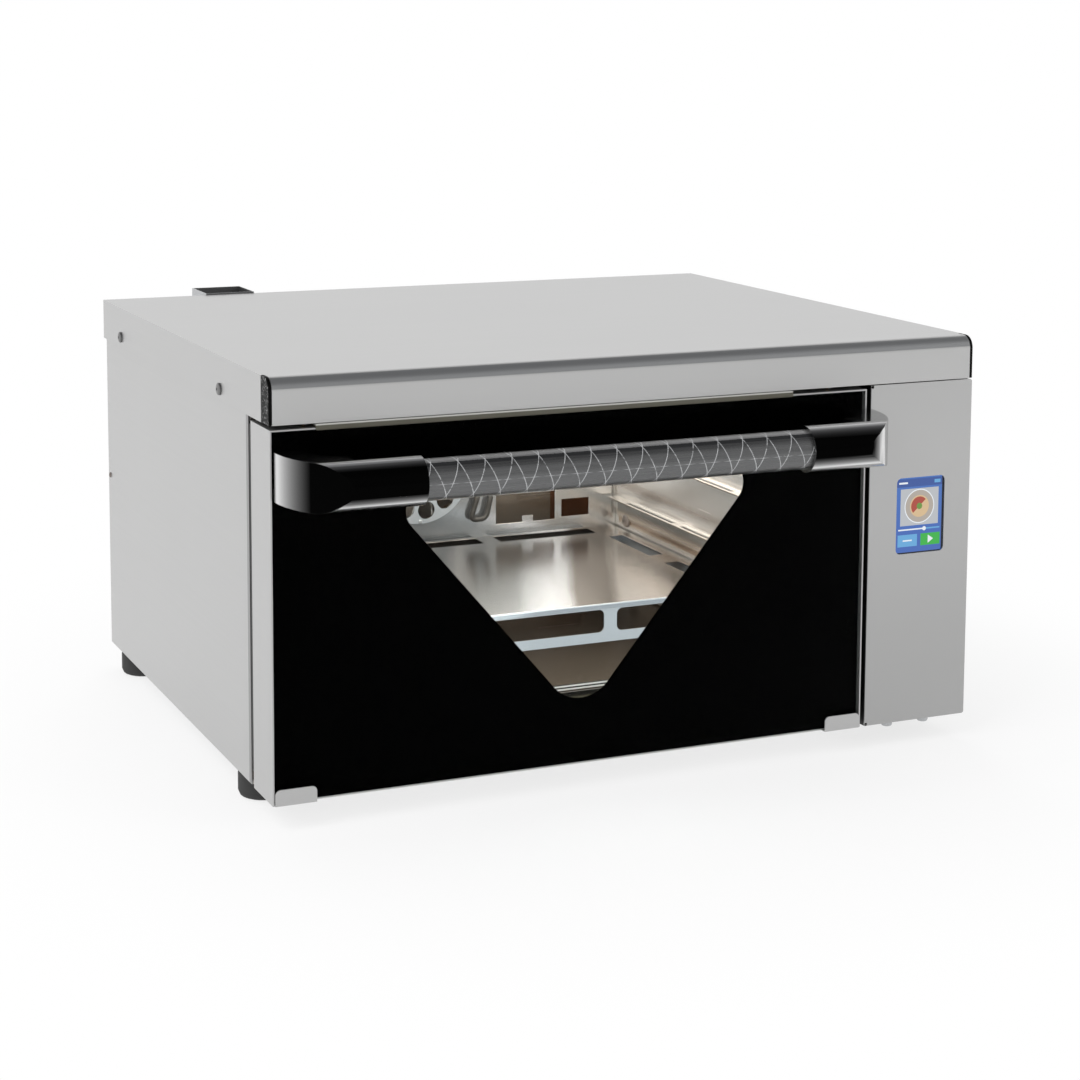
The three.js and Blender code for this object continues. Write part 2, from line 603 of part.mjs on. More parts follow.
// Centrifugal wheel: back plate, hub, leaning blades and a front ring
function fanWheel() {
  const middle = [doorMiddle, fanHeight];
  const front = baffleFace + sheet + fan.gap;
  const back = front + fan.depth;
  const pieces = [
    rod("y", middle, fanRadius, [back - fan.plate, back], 2 * fine),
    tube("y", middle, fanRadius, fan.ring, [front, front + fan.plate], 2 * fine),
    rod("y", middle, fan.hubRadius, [back - fan.hubDepth, back]),
  ];
  for (let i = 0; i < fan.blades; i += 1) {
    const length = fanRadius - fan.bladeRoot - fan.blade;
    const geometry = new THREE.BoxGeometry(length, fan.depth - fan.plate, fan.blade);
    geometry.translate(length / 2, (front + back) / 2, 0);
    geometry.rotateY(fan.leanAngle);
    geometry.translate(fan.bladeRoot, 0, 0);
    geometry.rotateY((fullTurn * i) / fan.blades);
    geometry.translate(middle[0], 0, middle[1]);
    pieces.push(solidOf(geometry));
  }
  const bore = rod("y", middle, shaft.radius + fit, past([front, back]));
  const trim = rod("y", middle, fanRadius, [front, back], 2 * fine);
  return cut(join(pieces).intersect(trim), bore);
}

function motorFace() {
  return insulationBack + fit + bridge.thickness + fit;
}

function fanShaft() {
  const front = baffleFace + sheet + fan.gap + fan.depth - fan.hubDepth;
  return rod("y", [doorMiddle, fanHeight], shaft.radius, [front, motorFace() + shaft.inMotor]);
}

function fanMotor() {
  const middle = [doorMiddle, fanHeight];
  const face = motorFace();
  const reach = [face + motor.boss, rearFace - sheet - motor.rearGap];
  const body = rod("y", middle, motor.radius, reach);
  const boss = rod("y", middle, motor.bossRadius, [face, reach[0] + fit]);
  const ribs = [];
  for (let i = 0; i < motor.ribs; i += 1) {
    const length = reach[1] - reach[0] - 2 * motor.ribInset;
    const geometry = new THREE.BoxGeometry(2 * motor.rib, length, motor.rib);
    geometry.translate(motor.radius, (reach[0] + reach[1]) / 2, 0);
    geometry.rotateY((fullTurn * i) / motor.ribs);
    geometry.translate(middle[0], 0, middle[1]);
    ribs.push(solidOf(geometry));
  }
  const bore = rod("y", middle, shaft.radius + fit, [face - overrun, face + shaft.inMotor + fit]);
  return cut(join(body, boss, ribs), bore);
}

// Channel from the left side to the partition that carries the fan motor
function motorBridge() {
  const x = [-sideInner + fit, panelLeft - fit];
  const y = [insulationBack + fit, insulationBack + fit + bridge.thickness];
  const half = ventHeight - vent.radius - bridge.ventGap - fanHeight;
  const z = [fanHeight - half, fanHeight + half];
  const web = block(x, y, z);
  const ends = [[x[0], x[0] + bridge.thickness], [x[1] - bridge.thickness, x[1]]].map((across) =>
    block(across, [y[0], y[0] + bridge.flange], z));
  return cut(join(web, ends), rod("y", [doorMiddle, fanHeight], shaft.radius + 2 * fit, past(y)));
}

function temperatureProbe() {
  const middle = [probeSetback, probeHeight];
  const outside = cavityLeft - sheet - fit - insulation.thickness;
  const headEnd = outside - fit;
  const head = rod("x", middle, probe.headRadius, [headEnd - probe.head, headEnd], coarse);
  const stem = rod("x", middle, probe.radius, [headEnd - probe.head, cavityLeft + probe.inside], coarse);
  return join(stem, head);
}

function lampHolder() {
  const middle = [lampSetback, lampHeight];
  const outside = cavityRight + sheet + fit + insulation.thickness;
  const cup = rod("x", middle, lamp.barrelRadius, [cavityRight - fit, outside + lamp.lens]);
  const flange = rod("x", middle, lamp.barrelRadius + lamp.rim, [outside + fit, outside + fit + lamp.rim]);
  return join(cup, flange);
}

function lampGlass() {
  const middle = [lampSetback, lampHeight];
  const face = cavityRight - 2 * fit;
  const seat = face - lamp.rim;
  const lens = rod("x", middle, lamp.radius, [seat, face]);
  const dome = rod("x", middle, lamp.radius - lamp.rim, [seat - lamp.lens, seat + fit]);
  return join(lens, dome);
}

function controlPartition() {
  return block([panelLeft, panelLeft + sheet], [innerFront, innerRear], [sheet + fit, underCover]);
}

function controlPanel() {
  const x = [panelLeft, right];
  const y = [0, frameFace - fit];
  const z = [0, panelTop];
  const outer = prism("y", roundedRectangle(x, z, panel.corner), y);
  const squareLeft = block([x[0], x[0] + 2 * panel.corner], y, z);
  const inner = block([x[0] + sheet, x[1] - sheet], [sheet, y[1] + overrun], [z[0] + sheet, z[1] - sheet]);
  const openFloor = block([x[0] + sheet, x[1] - sheet], [panel.returnDepth, y[1] + overrun], past(z));
  const screenHole = prism("y", roundedRectangle(around(screenPlace, screen.width),
    around(screenMiddle, screen.height), screen.corner), past([0, sheet]));
  const notches = [z[0] + panel.notch, z[1] - panel.notch].map((height) =>
    rod("y", [x[0] + panel.notch, height], panel.notch, past([0, sheet]), coarse));
  return cut(join(outer, squareLeft), inner, openFloor, screenHole, notches);
}

function displayGlass() {
  const y = [sheet + fit, sheet + fit + screen.glass];
  return block(around(screenPlace, screen.width + screen.frameWall), y,
    around(screenMiddle, screen.height + screen.frameWall));
}

function displayFrame() {
  const x = around(screenPlace, screen.width + 2 * screen.frameMargin);
  const z = around(screenMiddle, screen.height + 2 * screen.frameMargin);
  const y = [sheet + fit, sheet + fit + screen.frameDepth];
  const seat = screen.frameWall + 2 * fit;
  const pocketY = [y[0] - overrun, y[0] + screen.glass + fit];
  const pocket = block(around(screenPlace, screen.width + seat), pocketY,
    around(screenMiddle, screen.height + seat));
  return cut(block(x, y, z), pocket);
}

function exhaustDuct() {
  const x = around(ventPlace, duct.width);
  const y = [caseDepth + fit, caseDepth + fit + duct.depth];
  const top = caseHeight + duct.rise;
  const z = [top - duct.length, top];
  const middle = [ventPlace, ventHeight];
  const room = block([x[0] + duct.wall, x[1] - duct.wall], [y[0] + duct.wall, y[1] - duct.wall],
    [z[0] + duct.wall, z[1] + overrun]);
  const port = rod("y", middle, vent.radius, [rearFace - rearLap, y[0] + duct.wall]);
  const bore = rod("y", middle, vent.radius - vent.wall, [rearFace - 2 * rearLap, y[1] - duct.wall]);
  return cut(join(cut(block(x, y, z), room), port), bore);
}

function ventTube() {
  const y = [linerBack + fit, rearFace - rearLap - fit];
  return tube("y", [ventPlace, ventHeight], vent.radius, vent.wall, y);
}

function coolingFanFrame() {
  const y = [rearFace - sheet - fit - coolingFan.depth, rearFace - sheet - fit];
  const middle = [bayMiddle, coolingFan.height];
  const square = middle.map((place) => around(place, coolingFan.size));
  const frame = prism("y", roundedRectangle(square[0], square[1], coolingFan.corner), y);
  const ring = cut(frame, rod("y", middle, coolingFan.bore, past(y), 2 * fine));
  const strutY = [y[0], y[0] + coolingFan.strutDepth];
  const reach = 2 * coolingFan.bore + coolingFan.strut;
  const struts = [
    block(around(middle[0], coolingFan.strut), strutY, around(middle[1], reach)),
    block(around(middle[0], reach), strutY, around(middle[1], coolingFan.strut)),
    rod("y", middle, coolingFan.hubRadius, strutY),
  ];
  return join(ring, struts);
}

function coolingFanRotor() {
  const front = rearFace - sheet - fit - coolingFan.depth + coolingFan.strutDepth + fit;
  const middle = [bayMiddle, coolingFan.height];
  const depth = [front, front + coolingFan.hubDepth];
  const hub = rod("y", middle, coolingFan.hubRadius - coolingFan.floor / 2, depth);
  const blades = [];
  for (let i = 0; i < coolingFan.blades; i += 1) {
    const root = coolingFan.hubRadius - coolingFan.floor;
    const length = coolingFan.bladeTip - root;
    const geometry = new THREE.BoxGeometry(length, coolingFan.blade, coolingFan.hubDepth);
    geometry.rotateX(coolingFan.bladeAngle);
    geometry.translate(root + length / 2, front + coolingFan.hubDepth / 2, 0);
    geometry.rotateY((fullTurn * i) / coolingFan.blades);
    geometry.translate(middle[0], 0, middle[1]);
    blades.push(solidOf(geometry));
  }
  const trim = rod("y", middle, coolingFan.bore - coolingFan.running, depth, 2 * fine);
  return join(hub, blades).intersect(trim);
}

function cordGland() {
  const middle = [bayMiddle, gland.height];
  const plateBack = rearFace - sheet - fit;
  const domeStart = rearFace + fit + gland.nut;
  const inside = rod("y", middle, gland.nutRadius, [plateBack - gland.washer, plateBack], hexagon);
  const neck = rod("y", middle, gland.hole, [plateBack - fit, rearFace + 2 * fit]);
  const nut = rod("y", middle, gland.nutRadius, [rearFace + fit, domeStart], hexagon);
  const dome = rod("y", middle, gland.domeRadius, [domeStart - fit, domeStart + gland.dome]);
  const bore = rod("y", middle, gland.bore, past([plateBack - gland.washer, domeStart + gland.dome]));
  return cut(join(inside, neck, nut, dome), bore);
}

function controlBoard() {
  const wall = panelLeft + sheet + fit;
  const x = [wall + board.standoff, wall + board.standoff + board.thickness];
  const y = [board.setback, board.setback + board.width];
  const z = [underCover - board.topDrop - board.height, underCover - board.topDrop];
  const posts = [];
  for (const along of [y[0] + board.standoffInset, y[1] - board.standoffInset]) {
    for (const up of [z[0] + board.standoffInset, z[1] - board.standoffInset]) {
      posts.push(rod("x", [along, up], board.standoffRadius, [wall, x[1]], coarse));
    }
  }
  const parts = boardPartShares.map((piece) => block([x[0], x[1] + piece.deep * board.tallest],
    [y[0] + piece.along * board.width, y[0] + (piece.along + piece.length) * board.width],
    [z[0] + piece.up * board.height, z[0] + (piece.up + piece.tall) * board.height]));
  return join(block(x, y, z), posts, parts);
}

function powerModule() {
  const x = [panelLeft + sink.gapFromWall, panelLeft + sink.gapFromWall + sink.width];
  const y = [sink.setback, sink.setback + sink.length];
  const low = sheet + fit;
  const fins = [];
  for (let i = 0; i < sink.fins; i += 1) {
    const start = x[0] + ((sink.width - sink.fin) * i) / (sink.fins - 1);
    fins.push(block([start, start + sink.fin], y, [low, low + sink.height]));
  }
  return join(block(x, y, [low, low + sink.foot]), fins);
}

// Hinges: a plate through the face frame, with a pin that the door's ears turn on
function hingePlaces() {
  return [doorLeft + hinge.inset, doorRight - hinge.inset];
}

function catchPlaces() {
  return [doorLeft + catches.leftInset, doorRight - catches.rightInset];
}

// Across both ears of one hinge
function hingeWidth() {
  return hinge.plate + 2 * (hinge.play + hinge.ear);
}

// Across the pin's heads, with clearance at both ends
function pinRoom() {
  return hingeWidth() + 2 * (hinge.head + 2 * fit);
}

function hingeSlot(place) {
  return block(around(place, hinge.plate + 2 * fit), past([frameFace, frameBack + sheet]),
    [hinge.height - hinge.boss - fit, hinge.root + hinge.tail]);
}

function hingeRoom(place) {
  return block(around(place, hinge.plate + 2 * fit), [linerFront - overrun, frameBack + hinge.reach + fit],
    [0, hinge.root + hinge.tail]);
}

function hingeBracket(place) {
  const x = around(place, hinge.plate);
  const low = hinge.height - hinge.boss;
  const high = hinge.height + hinge.boss;
  const arm = block(x, [door.thickness, frameBack + hinge.reach], [low, high]);
  const tail = block(x, [frameBack + fit, frameBack + hinge.reach], [low, hinge.root + hinge.tail - fit]);
  const boss = rod("x", [door.thickness, hinge.height], hinge.boss, x);
  const bore = rod("x", [door.thickness, hinge.height], hinge.pinRadius + fit, past(x));
  return cut(join(arm, tail, boss), bore);
}

function hingePin(place) {
  const reach = hinge.plate / 2 + hinge.play + hinge.ear + fit;
  const middle = [door.thickness, hinge.height];
  const end = reach + hinge.head;
  return join(rod("x", middle, hinge.pinRadius, [place - end, place + end], coarse),
    rod("x", middle, hinge.headRadius, [place + reach, place + end], coarse),
    rod("x", middle, hinge.headRadius, [place - end, place - reach], coarse));
}

function catchBody(place) {
  const middle = [place, catches.setback];
  const top = noseFloor - fit;
  const collar = rod("z", middle, catches.collarRadius, [top - catches.collar, top]);
  const barrel = rod("z", middle, catches.barrelRadius, [top - catches.collar, top + catches.barrel]);
  const bore = rod("z", middle, catches.ballRadius + fit, past([top, top + catches.barrel]));
  return cut(join(collar, barrel), bore);
}

function catchBall(place) {
  const low = doorTop + fit;
  const r = catches.ballRadius;
  const points = [[0, low]];
  for (let i = 1; i <= coarse; i += 1) {
    const angle = (Math.PI / 2) * (i / coarse);
    points.push([r * Math.sin(angle), low + r * (1 - Math.cos(angle))]);
  }
  points.push([r, low + catches.ballLength], [0, low + catches.ballLength]);
  const geometry = new THREE.LatheGeometry(points.map(([x, z]) => new THREE.Vector2(x, z)), 2 * coarse);
  geometry.rotateX(Math.PI / 2);
  geometry.translate(place, catches.setback, 0);
  return solidOf(geometry);
}

// Door: a steel surround, outer glass with a masked window, an inner panel and an inner glass
function doorShell() {
  const y = [0, door.thickness];
  const outer = block([doorLeft, doorRight], y, [0, doorTop]);
  const x = [doorLeft + sheet, doorRight - sheet];
  const inner = block(x, past(y), [sheet, doorTop - sheet]);
  const flangeY = [flangeFace(), flangeFace() + sheet];
  const z = [sheet, doorTop - sheet];
  const ring = cut(block(x, flangeY, z),
    block([x[0] + door.flange, x[1] - door.flange], past(flangeY), [z[0] + door.flange, z[1] - door.flange]));
  const frontSill = block(x, [-overrun, flangeFace() - fit], [-overrun, sheet + fit]);
  const notches = hingePlaces().map((place) => block(around(place, pinRoom()),
    [door.thickness - hinge.boss - hinge.play, door.thickness + overrun], [-overrun, sheet + overrun]));
  return cut(join(cut(outer, inner), ring), frontSill, notches);
}

function flangeFace() {
  return doorGlass.thickness + fit + mask.thickness + fit;
}

// The clear window: a triangle that stands on its tip, with rounded corners
function windowOutline() {
  const top = doorTop - windowShape.topDrop;
  const corners = [
    { at: [doorMiddle + windowShape.tipOffset, windowShape.tip], radius: windowShape.tipRadius },
    { at: [doorRight - windowShape.rightMargin, top], radius: windowShape.cornerRadius },
    { at: [doorLeft + windowShape.leftMargin, top], radius: windowShape.cornerRadius },
  ].map(({ at, radius }) => ({ at: new THREE.Vector2(...at), radius }));
  const shape = new THREE.Shape();
  corners.forEach(({ at, radius }, i) => {
    const before = corners[(i + 2) % 3].at.clone().sub(at).normalize();
    const after = corners[(i + 1) % 3].at.clone().sub(at).normalize();
    const half = Math.acos(before.dot(after)) / 2;
    const middle = before.clone().add(after).normalize().multiplyScalar(radius / Math.sin(half)).add(at);
    const start = before.clone().multiplyScalar(radius / Math.tan(half)).add(at).sub(middle);
    const end = after.clone().multiplyScalar(radius / Math.tan(half)).add(at).sub(middle);
    shape.absarc(middle.x, middle.y, radius, start.angle(), end.angle(), false);
  });
  return shape;
}

function doorGlassPane() {
  return block([doorLeft + sheet + fit, doorRight - sheet - fit], [0, doorGlass.thickness],
    [doorGlass.foot, doorTop - sheet - fit]);
}

function doorMask() {
  const y = [doorGlass.thickness + fit, doorGlass.thickness + fit + mask.thickness];
  const x = [doorLeft + sheet + fit, doorRight - sheet - fit];
  const plate = block(x, y, [doorGlass.foot, doorTop - sheet - fit]);
  return cut(plate, prism("y", windowOutline(), past(y), 2 * coarse));
}

function innerOpening() {
  return {
    x: [doorLeft + innerWindow.sideMargin, doorRight - innerWindow.sideMargin],
    z: [innerWindow.floor, doorTop - innerWindow.topDrop],
  };
}

function doorInnerPanel() {
  const y = [door.thickness - sheet, door.thickness];
  const x = [doorLeft + sheet + fit, doorRight - sheet - fit];
  const plate = block(x, y, [sheet + fit, doorTop - sheet - fit]);
  const opening = innerOpening();
  const hole = prism("y", roundedRectangle(opening.x, opening.z, innerWindow.corner), past(y));
  const slotTop = hinge.height + hinge.boss + hinge.head + fit;
  const slots = hingePlaces().map((place) =>
    block(around(place, hinge.plate + 2 * hinge.play), past(y), [-overrun, slotTop]));
  const earZ = [hinge.height - hinge.boss, hinge.root];
  const ears = hingePlaces().flatMap((place) => [-1, 1].map((sign) => {
    const near = place + sign * (hinge.plate / 2 + hinge.play);
    const x2 = [near, near + sign * hinge.ear].sort((a, b) => a - b);
    const round = rod("x", [door.thickness, hinge.height], hinge.boss, x2);
    const root = block(x2, [door.thickness - 2 * hinge.boss, door.thickness], earZ);
    return join(round, root);
  }));
  const webs = hingePlaces().map((place) => block(around(place, hingeWidth()),
    [door.thickness - 2 * hinge.boss - sheet, door.thickness - 2 * hinge.boss], earZ));
  const heads = hingePlaces().map((place) => cut(
    block(around(place, pinRoom()), past(y), [-overrun, hinge.height + hinge.headRadius + fit]),
    block(around(place, hingeWidth()), past(y), [-2 * overrun, hinge.root])));
  const bore = hingePlaces().map((place) =>
    rod("x", [door.thickness, hinge.height], hinge.pinRadius + fit, around(place, hingeWidth() + fit)));
  return cut(join(cut(plate, hole, slots, heads), ears, webs), bore);
}

function doorInnerGlass() {
  const opening = innerOpening();
  const back = door.thickness - sheet - fit;
  const lapped = (range) => [range[0] - innerWindow.lap, range[1] + innerWindow.lap];
  return block(lapped(opening.x), [back - innerWindow.glass, back], lapped(opening.z));
}

function glassClip(sign) {
  const edge = sign < 0 ? doorLeft + sheet + fit : doorRight - sheet - fit;
  const x = [edge, edge - sign * clip.width].sort((a, b) => a - b);
  const y = [-clip.thickness - fit, -fit];
  const face = prism("y", roundedRectangle(x, [-clip.corner, clip.height], clip.corner), y);
  const trimmed = face.intersect(block(past(x), [-2 * overrun, overrun], [0, clip.height]));
  const shelf = block(x, [-clip.thickness - fit, doorGlass.thickness], [0, clip.thickness]);
  return join(trimmed, shelf);
}

function doorTopStrip() {
  const x = [doorLeft + topStrip.leftGap, doorRight - topStrip.rightGap];
  const top = doorTop + fit + topStrip.thickness;
  const face = -fit - topStrip.lip;
  return join(block(x, [face, topStrip.depth], [doorTop + fit, top]),
    block(x, [face, -fit], [doorTop - topStrip.lap, top]));
}

// Handle: two moulded elbows that hold a bar in a patterned sleeve
function handleOuter(sign) {
  return sign < 0 ? doorLeft + handle.leftInset : doorRight - handle.rightInset;
}

function handleLeg(sign) {
  const outer = handleOuter(sign);
  const inward = -sign;
  const at = (along, reach) => [outer + inward * along, -reach];
  const plan = new THREE.Shape();
  const quarter = 2 * coarse;
  const points = [];
  for (let i = 0; i <= quarter; i += 1) {
    const angle = (Math.PI / 2) * (i / quarter);
    points.push(at(handle.cornerReach * (1 - Math.cos(angle)), fit + (frontReach - fit) * Math.sin(angle)));
  }
  const back = handle.axisReach - handleRadius;
  points.push(at(handle.legWidth + handle.innerFillet, frontReach));
  for (let i = 0; i <= coarse; i += 1) {
    const angle = (Math.PI / 2) * (i / coarse);
    points.push(at(handle.legWidth + handle.innerFillet * (1 - Math.sin(angle)),
      back - handle.innerFillet * (1 - Math.cos(angle))));
  }
  points.push(at(handle.legWidth, fit));
  const ordered = sign < 0 ? points.reverse() : points;
  plan.setFromPoints(ordered.map(([x, y]) => new THREE.Vector2(x, y)));
  const z = around(handleHeight, handle.height);
  const leg = prism("z", plan, z);
  const section = new THREE.Shape();
  section.moveTo(0, z[0]);
  section.lineTo(0, z[1]);
  section.lineTo(-handle.axisReach, z[1]);
  section.absarc(-handle.axisReach, handleHeight, handleRadius, Math.PI / 2, 1.5 * Math.PI);
  section.lineTo(0, z[0]);
  const inner = outer + inward * (handle.legWidth + handle.innerFillet);
  const limits = past([outer, inner].sort((a, b) => a - b));
  return leg.intersect(prism("x", section, limits, fine));
}

function handleEnds(sign) {
  const outer = handleOuter(sign);
  const span = sign < 0 ? handle.leftSpan : handle.rightSpan;
  return { start: outer - sign * handle.cornerReach, end: outer - sign * span };
}

function handleBracket(sign) {
  const { start, end } = handleEnds(sign);
  const middle = [-handle.axisReach, handleHeight];
  const upTo = (from) => [from, end - sign * overrun].sort((a, b) => a - b);
  const arm = rod("x", middle, handleRadius, [start, end].sort((a, b) => a - b), 2 * fine);
  const bore = rod("x", middle, barRadius() + bar.play, upTo(end + sign * bar.grip));
  const seat = rod("x", middle, sleeve.radius + fit, upTo(end + sign * sleeve.seat), 2 * fine);
  return cut(join(handleLeg(sign), arm), bore, seat);
}

function barRadius() {
  return sleeve.radius - sleeve.wall - fit;
}

function handleBar() {
  const middle = [-handle.axisReach, handleHeight];
  const reach = bar.grip - bar.play;
  return tube("x", middle, barRadius(), bar.wall, [handleEnds(-1).end - reach, handleEnds(1).end + reach]);
}

function handleSleeve() {
  const middle = [-handle.axisReach, handleHeight];
  const reach = sleeve.seat - fit;
  return tube("x", middle, sleeve.radius, sleeve.wall,
    [handleEnds(-1).end - reach, handleEnds(1).end + reach], 2 * fine);
}

add("top_cover", topCover(), steel);
add("back_panel", backPanel(), galvanised);
add("base_pan", basePan(), galvanised);
add("front_frame", frontFrame(), innerSteel);
add("control_panel", controlPanel(), steel);
add("display_frame", displayFrame(), blackPlastic);
add("display_glass", displayGlass(), display);
add("control_partition", controlPartition(), galvanised);
add("door_gasket", doorGasket(), silicone);
add("cavity_liner", cavityLiner(), innerSteel);
add("insulation_jacket", insulationJacket(), wool);
add("air_baffle", airBaffle(), innerSteel);
add("cooking_deck", cookingDeck(), innerSteel);
add("deck_stand", deckStand(), innerSteel);
add("ring_heater", ringHeater(), galvanised);
add("convection_fan_wheel", fanWheel(), innerSteel);
add("fan_shaft", fanShaft(), galvanised);
add("fan_motor", fanMotor(), aluminium);
add("motor_bridge", motorBridge(), galvanised);
add("temperature_probe", temperatureProbe(), innerSteel);
add("lamp_holder", lampHolder(), whitePlastic);
add("lamp_glass", lampGlass(), clearGlass);
add("exhaust_duct", exhaustDuct(), steel);
add("vent_tube", ventTube(), galvanised);
add("cooling_fan_frame", coolingFanFrame(), blackPlastic);
add("cooling_fan_rotor", coolingFanRotor(), blackPlastic);
add("cord_gland", cordGland(), blackPlastic);
add("control_board", controlBoard(), circuit);
add("power_module", powerModule(), aluminium);
add("door_shell", doorShell(), steel);
add("door_glass", doorGlassPane(), glass);
add("door_mask", doorMask(), blackEnamel);
add("door_inner_panel", doorInnerPanel(), innerSteel);
add("door_inner_glass", doorInnerGlass(), clearGlass);
add("door_top_strip", doorTopStrip(), silicone);
add("handle_bar", handleBar(), steel);
add("handle_sleeve", handleSleeve(), foil);
sides.forEach(({ name, sign }, i) => {
  add(`nose_cap_${name}`, noseCap(sign), blackPlastic);
  add(`side_panel_${name}`, sidePanel(sign), steel);
  add(`rack_rail_${name}`, rackRail(sign), innerSteel);
  add(`foot_front_${name}`, footSolid(sign, foot.frontSetback), rubber);
  add(`foot_rear_${name}`, footSolid(sign, caseDepth - foot.rearGap), rubber);
  add(`hinge_bracket_${name}`, hingeBracket(hingePlaces()[i]), galvanised);
  add(`hinge_pin_${name}`, hingePin(hingePlaces()[i]), steel);
  add(`catch_body_${name}`, catchBody(catchPlaces()[i]), steel);
  add(`catch_ball_${name}`, catchBall(catchPlaces()[i]), brass);
  add(`glass_clip_${name}`, glassClip(sign), steel);
  add(`handle_bracket_${name}`, handleBracket(sign), blackPlastic);
});

export default oven;
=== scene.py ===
import json
import math
import bmesh
import bpy
from mathutils import Matrix, Vector


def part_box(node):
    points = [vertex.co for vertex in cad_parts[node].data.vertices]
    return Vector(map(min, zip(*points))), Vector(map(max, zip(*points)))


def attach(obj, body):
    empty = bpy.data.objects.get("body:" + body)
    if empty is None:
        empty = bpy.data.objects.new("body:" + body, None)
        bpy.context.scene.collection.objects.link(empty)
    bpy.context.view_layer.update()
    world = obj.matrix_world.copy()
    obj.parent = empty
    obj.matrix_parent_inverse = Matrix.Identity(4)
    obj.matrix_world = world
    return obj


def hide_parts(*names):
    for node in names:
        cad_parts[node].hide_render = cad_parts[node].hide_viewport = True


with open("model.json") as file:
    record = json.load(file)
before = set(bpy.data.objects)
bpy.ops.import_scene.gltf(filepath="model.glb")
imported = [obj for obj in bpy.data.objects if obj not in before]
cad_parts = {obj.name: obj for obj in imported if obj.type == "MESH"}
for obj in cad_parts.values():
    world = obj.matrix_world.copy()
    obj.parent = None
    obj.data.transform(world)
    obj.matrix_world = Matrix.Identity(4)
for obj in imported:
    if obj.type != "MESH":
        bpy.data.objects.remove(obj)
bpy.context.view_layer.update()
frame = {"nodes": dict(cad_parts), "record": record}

record = frame["record"]
bodyOf = {node: body for body, members in record["behaviour"]["bodies"].items() for node in members}
slotOf = {row["node"]: row["material_slot"] for row in record["subparts"]}


# --- shader sums ---
class Wire:  # one socket, so that sums and comparisons on it become nodes
    def __init__(self, recipe, socket):
        self.recipe = recipe
        self.socket = socket

    def sum(self, operation, other=0.0, swapped=False):
        first, second = (other, self) if swapped else (self, other)
        return self.recipe.node("ShaderNodeMath", {"operation": operation}, {0: first, 1: second})

    def __add__(self, other):
        return self.sum("ADD", other)

    def __sub__(self, other):
        return self.sum("SUBTRACT", other)

    def __rsub__(self, other):
        return self.sum("SUBTRACT", other, True)

    def __mul__(self, other):
        return self.sum("MULTIPLY", other)

    def __truediv__(self, other):
        return self.sum("DIVIDE", other)

    def __pow__(self, other):
        return self.sum("POWER", other)

    def __lt__(self, other):
        return self.sum("LESS_THAN", other)

    def __gt__(self, other):
        return self.sum("GREATER_THAN", other)

    def __abs__(self):
        return self.sum("ABSOLUTE")

    def __mod__(self, other):
        return self.sum("FLOORED_MODULO", other)

    __radd__ = __add__
    __rmul__ = __mul__


class Recipe:  # one material or world, built node by node
    def __init__(self, owner):
        self.owner = owner
        owner.use_nodes = True
        self.tree = owner.node_tree
        self.tree.nodes.clear()

    def node(self, kind, settings=None, inputs=None, output=0):
        made = self.tree.nodes.new(kind)
        for key, value in (settings or {}).items():
            if key == "stops":
                self.setStops(made.color_ramp, value)
            else:
                setattr(made, key, value)
        for key, value in (inputs or {}).items():
            if isinstance(value, Wire):
                self.tree.links.new(value.socket, made.inputs[key])
            else:
                made.inputs[key].default_value = value
        return Wire(self, made.outputs[output]) if made.outputs else None

    def setStops(self, ramp, stops):
        while len(ramp.elements) < len(stops):
            ramp.elements.new(1.0)
        for element, (place, colour) in zip(ramp.elements, stops):
            element.position = place
            element.color = (*colour, 1)

    def place(self, output="Object"):
        return self.node("ShaderNodeTexCoord", output=output)

    def axes(self, vector):
        split = self.node("ShaderNodeSeparateXYZ", inputs={0: vector})
        outputs = split.socket.node.outputs
        return [Wire(self, outputs[i]) for i in range(3)]

    def scaled(self, vector, scale):
        return self.node("ShaderNodeVectorMath", {"operation": "MULTIPLY"}, {0: vector, 1: scale})

    def ramp(self, value, stops):
        return self.node("ShaderNodeValToRGB", {"stops": stops}, {0: value})

    def noise(self, vector, scale=1.0, detail=3.0, roughness=0.5):
        return self.node("ShaderNodeTexNoise", inputs={
            "Vector": vector, "Scale": scale, "Detail": detail, "Roughness": roughness})

    def mixed(self, factor, first, second):
        first, second = [(*c, 1) if isinstance(c, tuple) and len(c) == 3 else c for c in (first, second)]
        return self.node("ShaderNodeMix", {"data_type": "RGBA"}, {0: factor, 6: first, 7: second}, 2)

    def bump(self, height, strength, distance):
        return self.node("ShaderNodeBump", inputs={
            "Strength": strength, "Distance": distance, "Height": height})

    def step(self, value, low, high):
        return self.node("ShaderNodeMapRange", {"interpolation_type": "SMOOTHSTEP"}, {
            "Value": value, "From Min": low, "From Max": high})

    def surface(self, **inputs):
        named = {key.replace("_", " "): value for key, value in inputs.items()}
        for key in ("Base Color", "Emission Color"):
            if isinstance(named.get(key), tuple):
                named[key] = (*named[key], 1)
        shader = self.node("ShaderNodeBsdfPrincipled", inputs=named)
        self.finish(shader)
        return self.owner

    def finish(self, shader):
        self.node("ShaderNodeOutputMaterial", inputs={"Surface": shader})


def newRecipe(name):
    return Recipe(bpy.data.materials.new(name))


